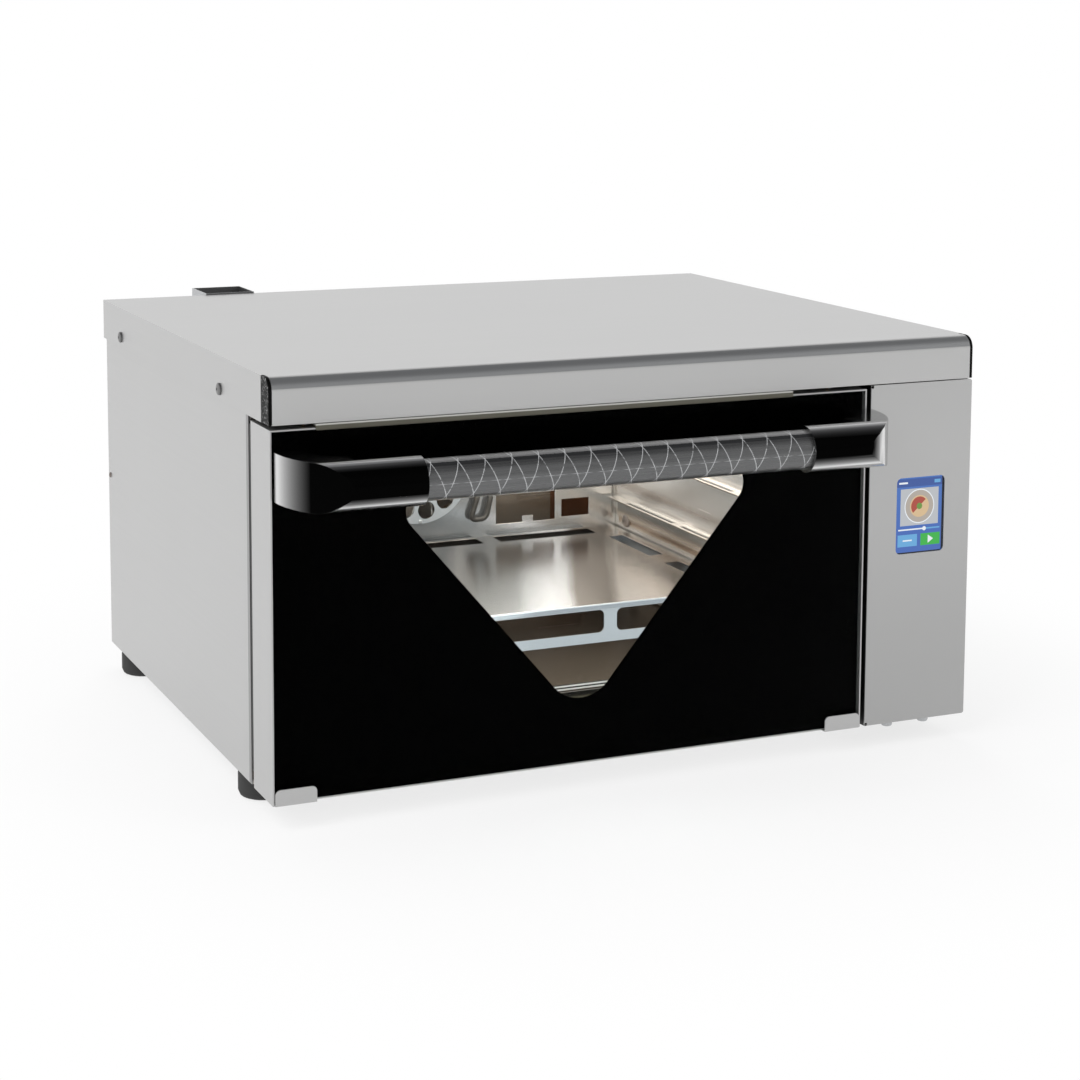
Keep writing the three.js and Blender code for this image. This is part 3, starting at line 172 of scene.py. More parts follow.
# --- materials ---
def sheetSteel(name, look, zone=None):
    # brushed or rolled sheet: grain runs along X, and along Y on faces that look sideways
    r = newRecipe(name)
    place = r.place()
    along = r.noise(r.scaled(place, look["grain"]), 1.0, 2.0)
    sideways = r.noise(r.scaled(place, look["sideGrain"]), 1.0, 2.0)
    normal = r.axes(r.place("Normal"))
    faceOut = abs(normal[0]) > 0.7
    grain = sideways * faceOut + along * (1 - faceOut)
    cloud = r.noise(place, look["cloudScale"], 2.0)
    tone = r.mixed(cloud, look["dark"], look["light"])
    if zone:
        tone = zone(r, tone, r.axes(place), normal)
    height = grain * look["grainHeight"] + cloud * look["waveHeight"]
    return r.surface(Base_Color=tone, Metallic=look["metal"],
                     Roughness=grain * look["streak"] + look["rough"],
                     Normal=r.bump(height, look["bump"], 0.001))


caseLook = {"grain": (3, 900, 900), "sideGrain": (900, 3, 900), "cloudScale": 5.0,
            "dark": (0.485, 0.485, 0.483), "light": (0.505, 0.505, 0.502), "metal": 0.75, "rough": 0.28,
            "streak": 0.06, "grainHeight": 0.2, "waveHeight": 0.0, "bump": 0.03}
cavityLook = {"grain": (5, 500, 500), "sideGrain": (500, 5, 500), "cloudScale": 9.0, "dark": (0.6, 0.55, 0.5),
              "light": (0.78, 0.76, 0.74), "metal": 0.85, "rough": 0.12, "streak": 0.1, "grainHeight": 0.05,
              "waveHeight": 3.0, "bump": 0.12}
standLook = {**cavityLook, "dark": (0.62, 0.65, 0.69), "light": (0.74, 0.77, 0.8), "metal": 0.6,
             "rough": 0.2}
deckLook = {**cavityLook, "metal": 0.9, "rough": 0.15, "waveHeight": 0.5, "grainHeight": 0.03,
            "bump": 0.06}
wallLook = {**cavityLook, "metal": 0.7, "rough": 0.2, "waveHeight": 0.6, "bump": 0.05}
stripLook = {"grainScale": 900.0, "cloudScale": 30.0, "dark": (0.09, 0.085, 0.062),
             "light": (0.13, 0.124, 0.094)}
platedLook = {"grain": (60, 60, 60), "sideGrain": (60, 60, 60), "cloudScale": 30.0,
              "dark": (0.42, 0.43, 0.44), "light": (0.56, 0.57, 0.58), "metal": 0.8, "rough": 0.32,
              "streak": 0.16, "grainHeight": 0.2, "waveHeight": 0.0, "bump": 0.1}
alloyLook = {"grain": (220, 220, 220), "sideGrain": (220, 220, 220), "cloudScale": 14.0,
             "dark": (0.5, 0.51, 0.52), "light": (0.62, 0.63, 0.64), "metal": 0.85, "rough": 0.36,
             "streak": 0.2, "grainHeight": 0.6, "waveHeight": 0.0, "bump": 0.25}
heaterLook = {"grain": (40, 40, 40), "sideGrain": (40, 40, 40), "cloudScale": 26.0,
              "dark": (0.16, 0.13, 0.12), "light": (0.34, 0.3, 0.27), "metal": 0.7, "rough": 0.4,
              "streak": 0.2, "grainHeight": 0.5, "waveHeight": 0.0, "bump": 0.2}

# places and tones of the painted mirror streaks
baffleStops = [(0.0, (0.16, 0.165, 0.17)), (0.42, (0.25, 0.26, 0.27)), (0.55, (0.45, 0.46, 0.47)),
               (0.7, (0.95, 0.96, 0.98)), (0.8, (0.95, 0.95, 0.95)), (1.0, (0.62, 0.6, 0.58))]
deckStops = [(0.0, (0.18, 0.17, 0.16)), (0.2, (0.13, 0.12, 0.11)), (0.29, (0.32, 0.28, 0.25)),
             (0.33, (0.12, 0.105, 0.095)), (0.37, (0.38, 0.33, 0.3)), (0.42, (0.13, 0.12, 0.11)),
             (0.52, (0.2, 0.2, 0.2)), (0.6, (0.88, 0.88, 0.92)), (0.64, (0.84, 0.84, 0.87)),
             (0.665, (0.2, 0.155, 0.125)), (0.74, (0.18, 0.14, 0.11)), (0.77, (0.68, 0.62, 0.58)),
             (0.85, (0.56, 0.5, 0.46)), (0.9, (0.24, 0.2, 0.17)), (1.0, (0.18, 0.155, 0.135))]
wallStops = [(0.0, (0.72, 0.69, 0.66)), (0.06, (0.5, 0.44, 0.39)), (0.09, (0.38, 0.25, 0.16)),
             (0.13, (0.33, 0.22, 0.14)), (0.17, (0.6, 0.5, 0.42)), (0.2, (0.46, 0.37, 0.3)),
             (0.23, (0.22, 0.17, 0.13)), (0.26, (0.17, 0.165, 0.155)), (0.34, (0.2, 0.2, 0.19)),
             (0.38, (0.6, 0.56, 0.53)), (0.5, (0.66, 0.6, 0.56)), (0.58, (0.42, 0.34, 0.29)),
             (0.66, (0.62, 0.56, 0.52)), (1.0, (0.7, 0.67, 0.65))]


def sidePanelZone(r, tone, axes, normal):
    # darker screw heads, and the shade on the folded front edge
    x, y, _ = axes
    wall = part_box("top_cover")[1].x
    tone = r.mixed((abs(x) > wall + 0.0002) * 0.8, tone, (0.12, 0.12, 0.12))
    return r.mixed((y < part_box("base_pan")[0].y + 0.005) * 0.6, tone, (0.12, 0.12, 0.12))


def coverZone(r, tone, axes, normal):
    # painted reflection: the rolled bend of the nose is painted darker, for the darker room it mirrors
    # compared with the flat below it; painted light: the flat front face of the nose is painted lighter
    y = axes[1]
    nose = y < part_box("door_shell")[1].y
    bend = r.step(normal[2], 0.12, 0.2) * (normal[2] < 0.93) * nose
    tone = r.mixed((normal[1] * -1 > 0.93) * nose, tone, (0.535, 0.535, 0.532))
    return r.mixed(bend, tone, (0.3, 0.305, 0.31))


def ductZone(r, tone, axes, normal):
    # weathered outside, and painted shade inside: the inner walls of the duct are painted dark
    x, y, _ = axes
    low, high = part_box("exhaust_duct")
    inside = (x > low.x + 0.0008) * (x < high.x - 0.0008) * (y > low.y + 0.0008) * (y < high.y - 0.0008)
    return r.mixed(inside * (normal[2] < 0.5) * 0.8, tone, (0.09, 0.09, 0.09))


def panelZone(r, tone, axes, normal):
    # painted shade: the wall beside the door is painted black where it faces the gap, and the front face is
    # painted darker towards the bottom, a slow fall of light down the face
    x, y, z = axes
    low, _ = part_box("control_panel")
    tone = r.mixed((1 - r.step(z, 0.06, 0.3)) * (normal[1] * -1 > 0.9), tone, (0.415, 0.415, 0.413))
    paintedGapShade = (normal[0] * -1 > 0.5) * (x < low.x + 0.001) * (y > low.y + 0.0012)
    return r.mixed(paintedGapShade * 0.97, tone, (0.0, 0.0, 0.0))


def baffleZone(r, tone, axes, normal):
    # painted reflection: brighter towards the middle of the seen part; painted shade: dull under the deck
    x, _, z = axes
    bright = r.ramp((x + 0.25) / 0.45, baffleStops)
    tone = r.mixed(0.85, tone, bright)
    return r.mixed((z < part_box("cooking_deck")[1].z - 0.0005) * 0.9, tone, (0.06, 0.045, 0.035))


def deckZone(r, tone, axes, normal):
    # painted reflections: long soft streaks that run away from the door, as the polished deck would mirror
    # them; the front face of the lip gets a plain pale tone
    x, y, z = axes
    wobble = r.noise(r.node("ShaderNodeCombineXYZ", inputs={0: x * 14, 1: y * 5}), 1.0, 3.0)
    along = x * 0.917 - y * 0.4 + wobble * 0.012 - 0.006
    streak = r.ramp((along + 0.22) / 0.42, deckStops)
    low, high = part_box("cooking_deck")
    lip = r.mixed(y < low.y + 0.002, streak, (0.5, 0.53, 0.57))
    # painted highlight along the top edge of the lip
    lip = r.mixed((y < low.y + 0.002) * (z > high.z - 0.0012), lip, (0.9, 0.92, 0.95))
    return r.mixed(0.9, tone, lip)


def wallBands(r, tone, axes):
    # painted reflections: what the polished side walls would mirror, painted band over band, from the deck up
    _, y, z = axes
    wave = r.noise(r.node("ShaderNodeCombineXYZ", inputs={1: y * 9, 2: z * 30}), 1.0, 2.0)
    level = z + wave * 0.006 - 0.003
    bands = r.ramp((level - 0.144) / 0.09, wallStops)
    return r.mixed((y < 0.139) * 0.8, tone, bands)


def railZone(r, tone, axes, normal):
    # painted light and shade: shelf tops painted pale as if lit from above, a thin painted dark line at their
    # free edge, and the plate gets the wall's painted reflection bands
    x = axes[0]
    wall = (abs(normal[0]) > 0.7) * (abs(normal[2]) < 0.3)
    top = normal[2] > 0.7
    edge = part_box("rack_rail_right")[0].x + 0.0016
    tone = r.mixed(wall, tone, wallBands(r, tone, axes))
    tone = r.mixed(top * 0.85, tone, (0.86, 0.8, 0.74))
    return r.mixed((x < edge) * (x > 0) * (1 - top) * 0.8, tone, (0.2, 0.15, 0.12))


def linerZone(r, tone, axes, normal):
    # brown marks all over; the side walls above the deck get the painted reflection bands; the rear wall is
    # darker brown on the right and greyer on the left, and the floor is very dark brown
    x, y, z = axes
    low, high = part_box("cavity_liner")
    marks = r.noise(r.node("ShaderNodeCombineXYZ", inputs={0: x * 8, 1: y * 3, 2: z * 42}), 1.0, 3.0, 0.6)
    tone = r.mixed(r.step(marks, 0.42, 0.62) * 0.5, tone, (0.4, 0.31, 0.24))
    tone = r.mixed((abs(normal[0]) > 0.7) * (z > 0.14), tone, wallBands(r, tone, axes))
    tone = r.mixed((y > high.y - 0.004) * (x > 0.125) * 0.9, tone, (0.2, 0.085, 0.04))
    tone = r.mixed((y > high.y - 0.004) * (x < 0.125) * 0.6, tone, (0.3, 0.27, 0.23))
    return r.mixed((z < low.z + 0.004) * 0.9, tone, (0.085, 0.055, 0.032))


def mouldedPlastic(name, look):
    r = newRecipe(name)
    place = r.place()
    grain = r.noise(place, look["grainScale"], 4.0, 0.6)
    cloud = r.noise(place, look["cloudScale"], 2.0)
    tone = r.mixed(cloud, look["dark"], look["light"])
    return r.surface(Base_Color=tone, Roughness=cloud * look["varied"] + look["rough"],
                     Normal=r.bump(grain, look["bump"], 0.0005), Specular_IOR_Level=0.5)


capLook = {"grainScale": 900.0, "cloudScale": 18.0, "dark": (0.0006, 0.0006, 0.0006),
           "light": (0.0012, 0.0012, 0.0012), "varied": 0.05, "rough": 0.1, "bump": 0.02,
           "power": 3.2, "gain": 3.4, "lift": 1.5, "cut": 0.04, "least": 0.001, "most": 0.72,
           "crownFrom": 0.88, "crown": 0.55}
fanLook = {"grainScale": 700.0, "cloudScale": 25.0, "dark": (0.014, 0.014, 0.015),
           "light": (0.026, 0.026, 0.027), "varied": 0.12, "rough": 0.4, "bump": 0.2}
bezelLook = {"grainScale": 400.0, "cloudScale": 12.0, "dark": (0.004, 0.004, 0.005),
             "light": (0.008, 0.008, 0.009), "varied": 0.04, "rough": 0.12, "bump": 0.03}
rubberLook = {"grainScale": 1400.0, "cloudScale": 40.0, "dark": (0.02, 0.02, 0.02),
              "light": (0.04, 0.04, 0.04), "varied": 0.15, "rough": 0.6, "bump": 0.4}
siliconeLook = {"grainScale": 900.0, "cloudScale": 30.0, "dark": (0.11, 0.1, 0.07),
                "light": (0.19, 0.18, 0.13), "varied": 0.15, "rough": 0.45, "bump": 0.3}
ceramicLook = {"grainScale": 300.0, "cloudScale": 20.0, "dark": (0.74, 0.71, 0.66),
               "light": (0.82, 0.8, 0.76), "varied": 0.1, "rough": 0.22, "bump": 0.08}
laminateLook = {"grainScale": 1200.0, "cloudScale": 60.0, "dark": (0.015, 0.11, 0.05),
                "light": (0.03, 0.17, 0.08), "varied": 0.2, "rough": 0.35, "bump": 0.15}


def glossBlack(name, look):
    # black that mirrors more the flatter it is seen
    r = newRecipe(name)
    place = r.place()
    cloud = r.noise(place, look["cloudScale"], 2.0)
    normal = r.bump(r.noise(place, look["grainScale"], 3.0), look["bump"], 0.0005)
    body = r.node("ShaderNodeBsdfDiffuse", inputs={"Color": r.mixed(cloud, look["dark"], look["light"])})
    mirror = r.node("ShaderNodeBsdfGlossy", inputs={
        "Color": (1, 1, 1, 1), "Roughness": cloud * look["varied"] + look["rough"], "Normal": normal})
    facing = r.node("ShaderNodeLayerWeight", inputs={"Blend": 0.5}, output=1)
    up = r.axes(r.place("Normal"))[2]
    # painted highlight: the mirror share is raised on faces turned up or down, and most on a band just short
    # of the top
    crown = r.step(up, look["crownFrom"], look["crownFrom"] + 0.04) * (up < 0.995) * look["crown"]
    share = (facing ** look["power"]) * (abs(up) * look["lift"] + 1) * look["gain"] + crown - look["cut"]
    share = share.sum("MAXIMUM", look["least"]).sum("MINIMUM", look["most"])
    r.finish(r.node("ShaderNodeMixShader", inputs={0: share, 1: body, 2: mirror}))
    return r.owner


def noseCapPlastic(look):
    # the end caps have a coarse, grey-flecked face
    r = newRecipe("noseCapPlastic")
    place = r.place()
    flecks = r.noise(place, look["fleckScale"], 3.0, 0.7)
    mask = r.step(flecks, look["fleckFrom"], look["fleckTo"])
    sideways = abs(r.axes(r.place("Normal"))[0]) > 0.9
    tone = r.mixed(mask * sideways, look["dark"], look["light"])
    return r.surface(Base_Color=tone, Roughness=mask * 0.2 + look["rough"], Specular_IOR_Level=0.1,
                     Normal=r.bump(flecks, look["bump"], 0.001))


def topStripSilicone(look):
    # olive lip with a painted highlight along its top edge
    r = newRecipe("topStripSilicone")
    place = r.place()
    grain = r.noise(place, look["grainScale"], 4.0, 0.6)
    tone = r.mixed(r.noise(place, look["cloudScale"], 2.0), look["dark"], look["light"])
    z = r.axes(place)[2]
    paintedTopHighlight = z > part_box("door_top_strip")[1].z - 0.0012
    return r.surface(Base_Color=r.mixed(paintedTopHighlight * 0.9, tone, (0.6, 0.6, 0.57)), Roughness=grain * 0.1 + 0.35,
                     Normal=r.bump(grain, 0.2, 0.0005))


def woolBoard(look):
    r = newRecipe("insulationWool")
    place = r.place()
    fibre = r.noise(r.scaled(place, look["fibre"]), 1.0, 5.0, 0.7)
    tone = r.mixed(fibre, look["dark"], look["light"])
    return r.surface(Base_Color=tone, Roughness=0.95, Normal=r.bump(fibre, 0.6, 0.002))


def clearPane(name, look):
    # a see-through sheet that mirrors by its angle
    r = newRecipe(name)
    smear = r.noise(r.place(), look["smearScale"], 3.0)
    mirror = r.node("ShaderNodeBsdfGlossy", inputs={"Color": (1, 1, 1, 1), "Roughness": smear * 0.04 + 0.02})
    through = r.node("ShaderNodeBsdfTransparent", inputs={"Color": (*look["tint"], 1)})
    facing = r.node("ShaderNodeLayerWeight", inputs={"Blend": 0.5}, output=1)
    share = (facing ** look["power"]) * look["gain"] + look["least"]
    r.finish(r.node("ShaderNodeMixShader", inputs={0: share, 1: through, 2: mirror}))
    return r.owner


def blackEnamel(look):
    r = newRecipe("blackMask")
    speck = r.noise(r.place(), look["speckScale"], 2.0)
    tone = r.mixed(speck, look["dark"], look["light"])
    return r.surface(Base_Color=tone, Roughness=speck * 0.1 + look["rough"],
                     Specular_IOR_Level=look["specular"])


def sleeveFoil(look):
    # silver sleeve with a pale grid of triangles, worked out round and along the bar
    r = newRecipe("sleeveFoil")
    low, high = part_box("handle_sleeve")
    place = r.place()
    x, y, z = r.axes(place)
    up = z - (low.z + high.z) / 2
    out = (y - (low.y + high.y) / 2) * -1
    turn = up.sum("ARCTAN2", out)
    # the grid is drawn nearly straight as seen from the front
    bent = (turn - look["bentTurn"]).sum("SINE") * look["bentGain"] + look["bentShift"]
    across = (turn + (bent - turn) * look["straight"]) * ((high.z - low.z) / 2) + look["shift"]
    # painted highlight and shade: a light band along the top of the sleeve, a painted shade band below it,
    # and a broken painted dark line along the band's edge
    crown = r.step(turn, look["crownFrom"], look["crownFrom"] + 0.03)
    shade = r.step(turn, look["shadeFrom"], look["shadeFrom"] + 0.06) * (1 - crown)
    broken = r.noise(r.scaled(place, (500, 0, 0)), 1.0, 1.0)
    crownEdgeShade = r.step(abs(turn - look["crownFrom"]), 0.045, 0.02) * r.step(broken, 0.5, 0.55)
    along = x - low.x + look["start"]
    pitch = look["pitch"]
    lean = across * (pitch / 2 / look["rise"])
    lines = None
    rung = r.step(abs(across - look["rungAt"]), look["line"] * 0.6, 0.0)
    for sign in (1, -1):
        gap = abs((along + lean * sign) % pitch - pitch / 2)
        for line in (r.step(gap, look["line"], 0.0), rung * r.step(gap, look["rungReach"], 0.0) * 0.8):
            lines = line if lines is None else lines.sum("MAXIMUM", line)
    wear = r.noise(place, look["wearScale"], 4.0, 0.7)
    mask = lines * r.step(wear, 0.32, 0.5)
    brush = r.noise(r.scaled(place, look["brush"]), 1.0, 3.0, 0.6)
    silver = r.mixed(brush, look["dark"], look["light"])
    silver = r.mixed(shade * 0.75, silver, look["shadeTone"])
    silver = r.mixed(crown, silver, look["crownTone"])
    silver = r.mixed(crownEdgeShade * 0.9, silver, look["shadeTone"])
    height = brush * 0.5 + mask * 0.6
    return r.surface(Base_Color=r.mixed(mask, silver, look["lineTone"]),
                     Metallic=look["metal"] - mask * 0.6, Roughness=brush * 0.16 + look["rough"],
                     Normal=r.bump(height, look["bump"], 0.0006))


def screenFace(look):
    # plain menu screen: a top bar, a ring gauge, one slider, a green start key and a blue key
    r = newRecipe("screenFace")
    low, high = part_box("display_glass")
    x, y, z = r.axes(r.place())
    across = (x - (low.x + high.x) / 2) * 1000
    up = (z - (low.z + high.z) / 2) * 1000

    def inBox(left, right, bottom, top):
        return (across > left) * (across < right) * (up > bottom) * (up < top)

    def inDisc(middle, height, radius):
        return ((across - middle) ** 2 + (up - height) ** 2) < radius ** 2

    tone = r.mixed(r.step(up, -34.0, 34.0), look["low"], look["high"])
    shapes = [
        (inBox(-27.5, 27.5, 28.5, 36.5), look["bar"]),
        (inBox(-24.0, -14.0, 31.6, 33.4), look["white"]),
        (inBox(17.0, 24.0, 30.8, 34.2), look["sky"]),
        (inBox(-22.0, 22.0, -10.5, 26.5), look["card"]),
        (inDisc(0.0, 8.5, 17.2), look["white"]),
        (inDisc(0.0, 8.5, 16.2), look["dish"]),
        (inDisc(0.0, 8.5, 11.0), look["cream"]),
        (inDisc(0.0, 8.5, 9.6) * (up > 8.5 + across * 0.9), look["ember"]),
        (inDisc(0.0, 8.5, 3.2), look["leaf"]),
        (inBox(-24.0, 24.0, -15.2, -13.8), look["sky"]),
        (inBox(-24.0, 6.0, -15.2, -13.8), look["white"]),
        (inDisc(6.0, -14.5, 2.1), look["white"]),
        (inBox(2.0, 24.5, -31.5, -19.5), look["green"]),
        (inBox(-24.5, -2.0, -31.5, -19.5), look["sky"]),
        (inBox(-18.5, -8.0, -26.2, -24.8), look["white"]),
    ]
    nose = 16.8 - abs(up + 25.5) * 1.5
    shapes.append(((across > 10.6) * (across < nose), look["white"]))
    # painted shade: dark strips along the right and bottom edges of the screen, where the bezel's shade falls
    shapes.append(((across > 25.9), look["edge"]))
    shapes.append(((up < -37.2), look["edge"]))
    for mask, colour in shapes:
        tone = r.mixed(mask, tone, colour)
    smear = r.noise(r.place(), 60.0, 3.0)
    return r.surface(Base_Color=(0.01, 0.012, 0.015), Roughness=smear * 0.08 + 0.06,
                     Emission_Color=tone, Emission_Strength=look["glow"])


def lampGlow(look):
    # frosted lamp glass lit from inside; also a painted highlight: folds of sheet made to glow as if they
    # caught the light
    r = newRecipe("lampGlow")
    frost = r.noise(r.place(), look["frostScale"], 3.0)
    return r.surface(Base_Color=(0.8, 0.8, 0.78), Roughness=frost * 0.2 + 0.2, Emission_Color=look["tone"],
                     Emission_Strength=look["glow"], Normal=r.bump(frost, 0.1, 0.0005))


woolLook = {"fibre": (260, 260, 60), "dark": (0.5, 0.46, 0.36), "light": (0.78, 0.74, 0.62)}
paneLook = {"tint": (0.95, 0.96, 0.955), "power": 4.2, "gain": 0.9, "least": 0.0005, "smearScale": 30.0}
maskLook = {"dark": (0.0003, 0.0003, 0.0003), "light": (0.0006, 0.0006, 0.0006), "rough": 0.3,
            "speckScale": 300.0, "specular": 0.0}
sleeveLook = {"pitch": 0.0255, "rise": 0.0342, "line": 0.0007, "shift": 0.0152, "rungAt": 0.0126,
              "start": 0.01935, "rungReach": 0.008, "straight": 0.65, "bentTurn": 0.1, "bentGain": 1.218,
              "bentShift": 0.035, "wearScale": 160.0, "brush": (14, 700, 700), "crownFrom": 1.05,
              "shadeFrom": 0.8, "dark": (0.11, 0.111, 0.112), "light": (0.18, 0.182, 0.184),
              "shadeTone": (0.05, 0.052, 0.055), "crownTone": (0.42, 0.42, 0.42),
              "lineTone": (0.6, 0.61, 0.62), "metal": 0.85, "rough": 0.2, "bump": 0.2}
screenLook = {"low": (0.045, 0.13, 0.47), "high": (0.05, 0.155, 0.5), "bar": (0.03, 0.085, 0.33),
              "white": (0.85, 0.9, 0.95), "sky": (0.13, 0.4, 0.72), "dish": (0.45, 0.4, 0.35),
              "card": (0.5, 0.52, 0.55), "cream": (0.7, 0.5, 0.28), "ember": (0.42, 0.06, 0.03),
              "leaf": (0.14, 0.3, 0.04), "green": (0.03, 0.45, 0.05), "edge": (0.003, 0.005, 0.015),
              "glow": 0.9}
guardSteel = {**standLook, "dark": (0.42, 0.44, 0.46), "light": (0.54, 0.56, 0.58), "metal": 0.5}
# painted highlight: the lip folds glow though they are no lamp
lipGlow = {"frostScale": 90.0, "glow": 0.5, "tone": (1.0, 0.97, 0.94)}
lampLook = {"frostScale": 120.0, "glow": 1.6, "tone": (1.0, 0.97, 0.92)}
sheathLook = {**heaterLook, "dark": (0.05, 0.045, 0.04), "light": (0.12, 0.11, 0.1)}
brassLook = {**alloyLook, "dark": (0.5, 0.28, 0.08), "light": (0.7, 0.42, 0.14), "rough": 0.22}
noseCapLook = {"fleckScale": 420.0, "fleckFrom": 0.56, "fleckTo": 0.62, "dark": (0.001, 0.001, 0.001),
               "light": (0.3, 0.3, 0.3), "rough": 0.5, "bump": 0.5}

print("materials")
finishes = {
    "case_steel": sheetSteel("caseSteel", caseLook),
    "cavity_steel": sheetSteel("cavitySteel", cavityLook),
    "plated_steel": sheetSteel("platedSteel", platedLook),
    "motor_alloy": sheetSteel("motorAlloy", alloyLook),
    "heater_sheath": sheetSteel("heaterSheath", heaterLook),
    "cap_plastic": glossBlack("capPlastic", capLook),
    "fan_plastic": mouldedPlastic("fanPlastic", fanLook),
    "bezel_plastic": mouldedPlastic("bezelPlastic", bezelLook),
    "foot_rubber": mouldedPlastic("footRubber", rubberLook),
    "silicone_seal": mouldedPlastic("siliconeSeal", siliconeLook),
    "lamp_ceramic": mouldedPlastic("lampCeramic", ceramicLook),
    "board_laminate": mouldedPlastic("boardLaminate", laminateLook),
    "insulation_wool": woolBoard(woolLook),
    "clear_glass": clearPane("clearGlass", paneLook),
    "black_mask": blackEnamel(maskLook),
    "sleeve_foil": sleeveFoil(sleeveLook),
    "screen_face": screenFace(screenLook),
    "guard": sheetSteel("guardSteel", guardSteel),
    "lip_edge": lampGlow(lipGlow),
    "lamp_glow": lampGlow(lampLook),
    "sensor_sheath": sheetSteel("sensorSheath", sheathLook),
    "catch_brass": sheetSteel("catchBrass", brassLook),
}
noseCapFinish = noseCapPlastic(noseCapLook)
sidePanelFinish = sheetSteel("sidePanelSteel", caseLook, sidePanelZone)
# nodes whose look depends on the place on them
special = {
    "nose_cap_left": noseCapFinish, "nose_cap_right": noseCapFinish,
    "side_panel_left": sidePanelFinish, "side_panel_right": sidePanelFinish,
    "control_panel": sheetSteel("panelSteel", caseLook, panelZone),
    "air_baffle": sheetSteel("baffleSteel", cavityLook, baffleZone),
    "cooking_deck": sheetSteel("deckSteel", deckLook, deckZone),
    "deck_stand": sheetSteel("standSteel", standLook),
    "cavity_liner": sheetSteel("linerSteel", wallLook, linerZone),
    "rack_rail_left": sheetSteel("railSteel", wallLook, railZone),
    "rack_rail_right": sheetSteel("railSteel", wallLook, railZone),
    "door_top_strip": topStripSilicone(stripLook), "lamp_glass": finishes["lamp_glow"],
    "top_cover": sheetSteel("coverSteel", caseLook, coverZone),
    "exhaust_duct": sheetSteel("ductSteel", platedLook, ductZone),
}


def finishOf(node):
    return special.get(node, finishes[slotOf[node]])


for name, node in frame["nodes"].items():
    node.data.materials.clear()
    node.data.materials.append(finishOf(name))


# --- meshes ---
def toPiece(name, mesh, body, slot, finish=None, sharp=35.0):
    for edge in mesh.edges:
        edge.smooth = len(edge.link_faces) == 2 and edge.calc_face_angle() < math.radians(sharp)
    for face in mesh.faces:
        face.smooth = True
    data = bpy.data.meshes.new(name)
    mesh.to_mesh(data)
    mesh.free()
    data.materials.append(finish or finishes[slot])
    piece = bpy.data.objects.new(name, data)
    bpy.context.scene.collection.objects.link(piece)
    shading = piece.modifiers.new("shading", "WEIGHTED_NORMAL")
    shading.keep_sharp = True
    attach(piece, body)
    return piece


def bevelEdges(mesh, edges, width, segments=2):
    bmesh.ops.bevel(mesh, geom=list(edges), offset=width, offset_type="OFFSET", affect="EDGES",
                    segments=segments, profile=0.5, material=-1, clamp_overlap=True)


def softened(name, width, segments=2, sharp=30.0):
    # a merged copy of a CAD node with its edges eased, which stands for the node
    mesh = bmesh.new()
    mesh.from_mesh(frame["nodes"][name].data)
    bmesh.ops.remove_doubles(mesh, verts=mesh.verts, dist=0.00001)
    bmesh.ops.dissolve_limit(mesh, angle_limit=math.radians(0.5), verts=mesh.verts, edges=mesh.edges)
    hard = [e for e in mesh.edges if len(e.link_faces) == 2 and e.calc_face_angle() > math.radians(sharp)]
    if width > 0:
        bevelEdges(mesh, hard, width, segments)
    piece = toPiece(name + "_eased", mesh, bodyOf[name], slotOf[name], finishOf(name))
    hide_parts(name)


easing = {
    "top_cover": 0.0004, "side_panel_left": 0.0004, "side_panel_right": 0.0004, "control_panel": 0.0004,
    "door_shell": 0.0003, "door_glass": 0.0004, "nose_cap_left": 0.0006, "nose_cap_right": 0.0006,
    "handle_bracket_left": 0.0012, "handle_bracket_right": 0.0012, "handle_sleeve": 0.0003,
    "glass_clip_left": 0.0003, "glass_clip_right": 0.0003, "door_top_strip": 0.0006, "exhaust_duct": 0.0003,
    "back_panel": 0.0003, "foot_front_left": 0.001, "foot_front_right": 0.001, "foot_rear_left": 0.001,
    "foot_rear_right": 0.001, "cooking_deck": 0.0004, "deck_stand": 0.0004, "air_baffle": 0.0003,
    "rack_rail_left": 0.0003, "rack_rail_right": 0.0003, "front_frame": 0.0003, "door_gasket": 0.002,
    "convection_fan_wheel": 0.0002, "cord_gland": 0.0008, "display_frame": 0.0005,
    "fan_motor": 0.0, "ring_heater": 0.0, "lamp_glass": 0.0006, "lamp_holder": 0.0004,
    "door_inner_panel": 0.0003, "handle_bar": 0.0, "fan_shaft": 0.0, "temperature_probe": 0.0,
    "catch_body_left": 0.0002, "catch_body_right": 0.0002, "catch_ball_left": 0.0, "catch_ball_right": 0.0,
    "cooling_fan_frame": 0.0006, "cooling_fan_rotor": 0.0003, "vent_tube": 0.0, "cavity_liner": 0.0003,
}
print("eased copies")
for name, width in easing.items():
    softened(name, width)


# --- fasteners ---
def screwHead(name, at, axis, look, body, slot):
    # a domed head with a round socket, spun about its own axis and then stood on its place
    mesh = bmesh.new()
    steps = look["domeSteps"]
    points = [(look["socket"], look["height"] - look["socketDepth"]), (look["socket"], look["height"])]
    for i in range(steps + 1):
        angle = math.pi / 2 * i / steps
        points.append((look["flat"] + (look["radius"] - look["flat"]) * math.sin(angle),
                       look["rim"] + (look["height"] - look["rim"]) * math.cos(angle)))
    points.append((look["radius"], 0.0))
    verts = [mesh.verts.new((r, 0.0, h)) for r, h in points]
    edges = [mesh.edges.new(pair) for pair in zip(verts, verts[1:])]
    bmesh.ops.spin(mesh, geom=verts + edges, axis=(0, 0, 1), cent=(0, 0, 0), angle=2 * math.pi,
                   steps=look["turns"], use_merge=True)
    bmesh.ops.remove_doubles(mesh, verts=mesh.verts, dist=0.000001)
    bmesh.ops.holes_fill(mesh, edges=[e for e in mesh.edges if len(e.link_faces) == 1], sides=0)
    bmesh.ops.recalc_face_normals(mesh, faces=mesh.faces)
    turn = Vector((0, 0, 1)).rotation_difference(Vector(axis)).to_matrix().to_4x4()
    bmesh.ops.transform(mesh, matrix=Matrix.Translation(at) @ turn, verts=mesh.verts)
    return toPiece(name, mesh, body, slot)


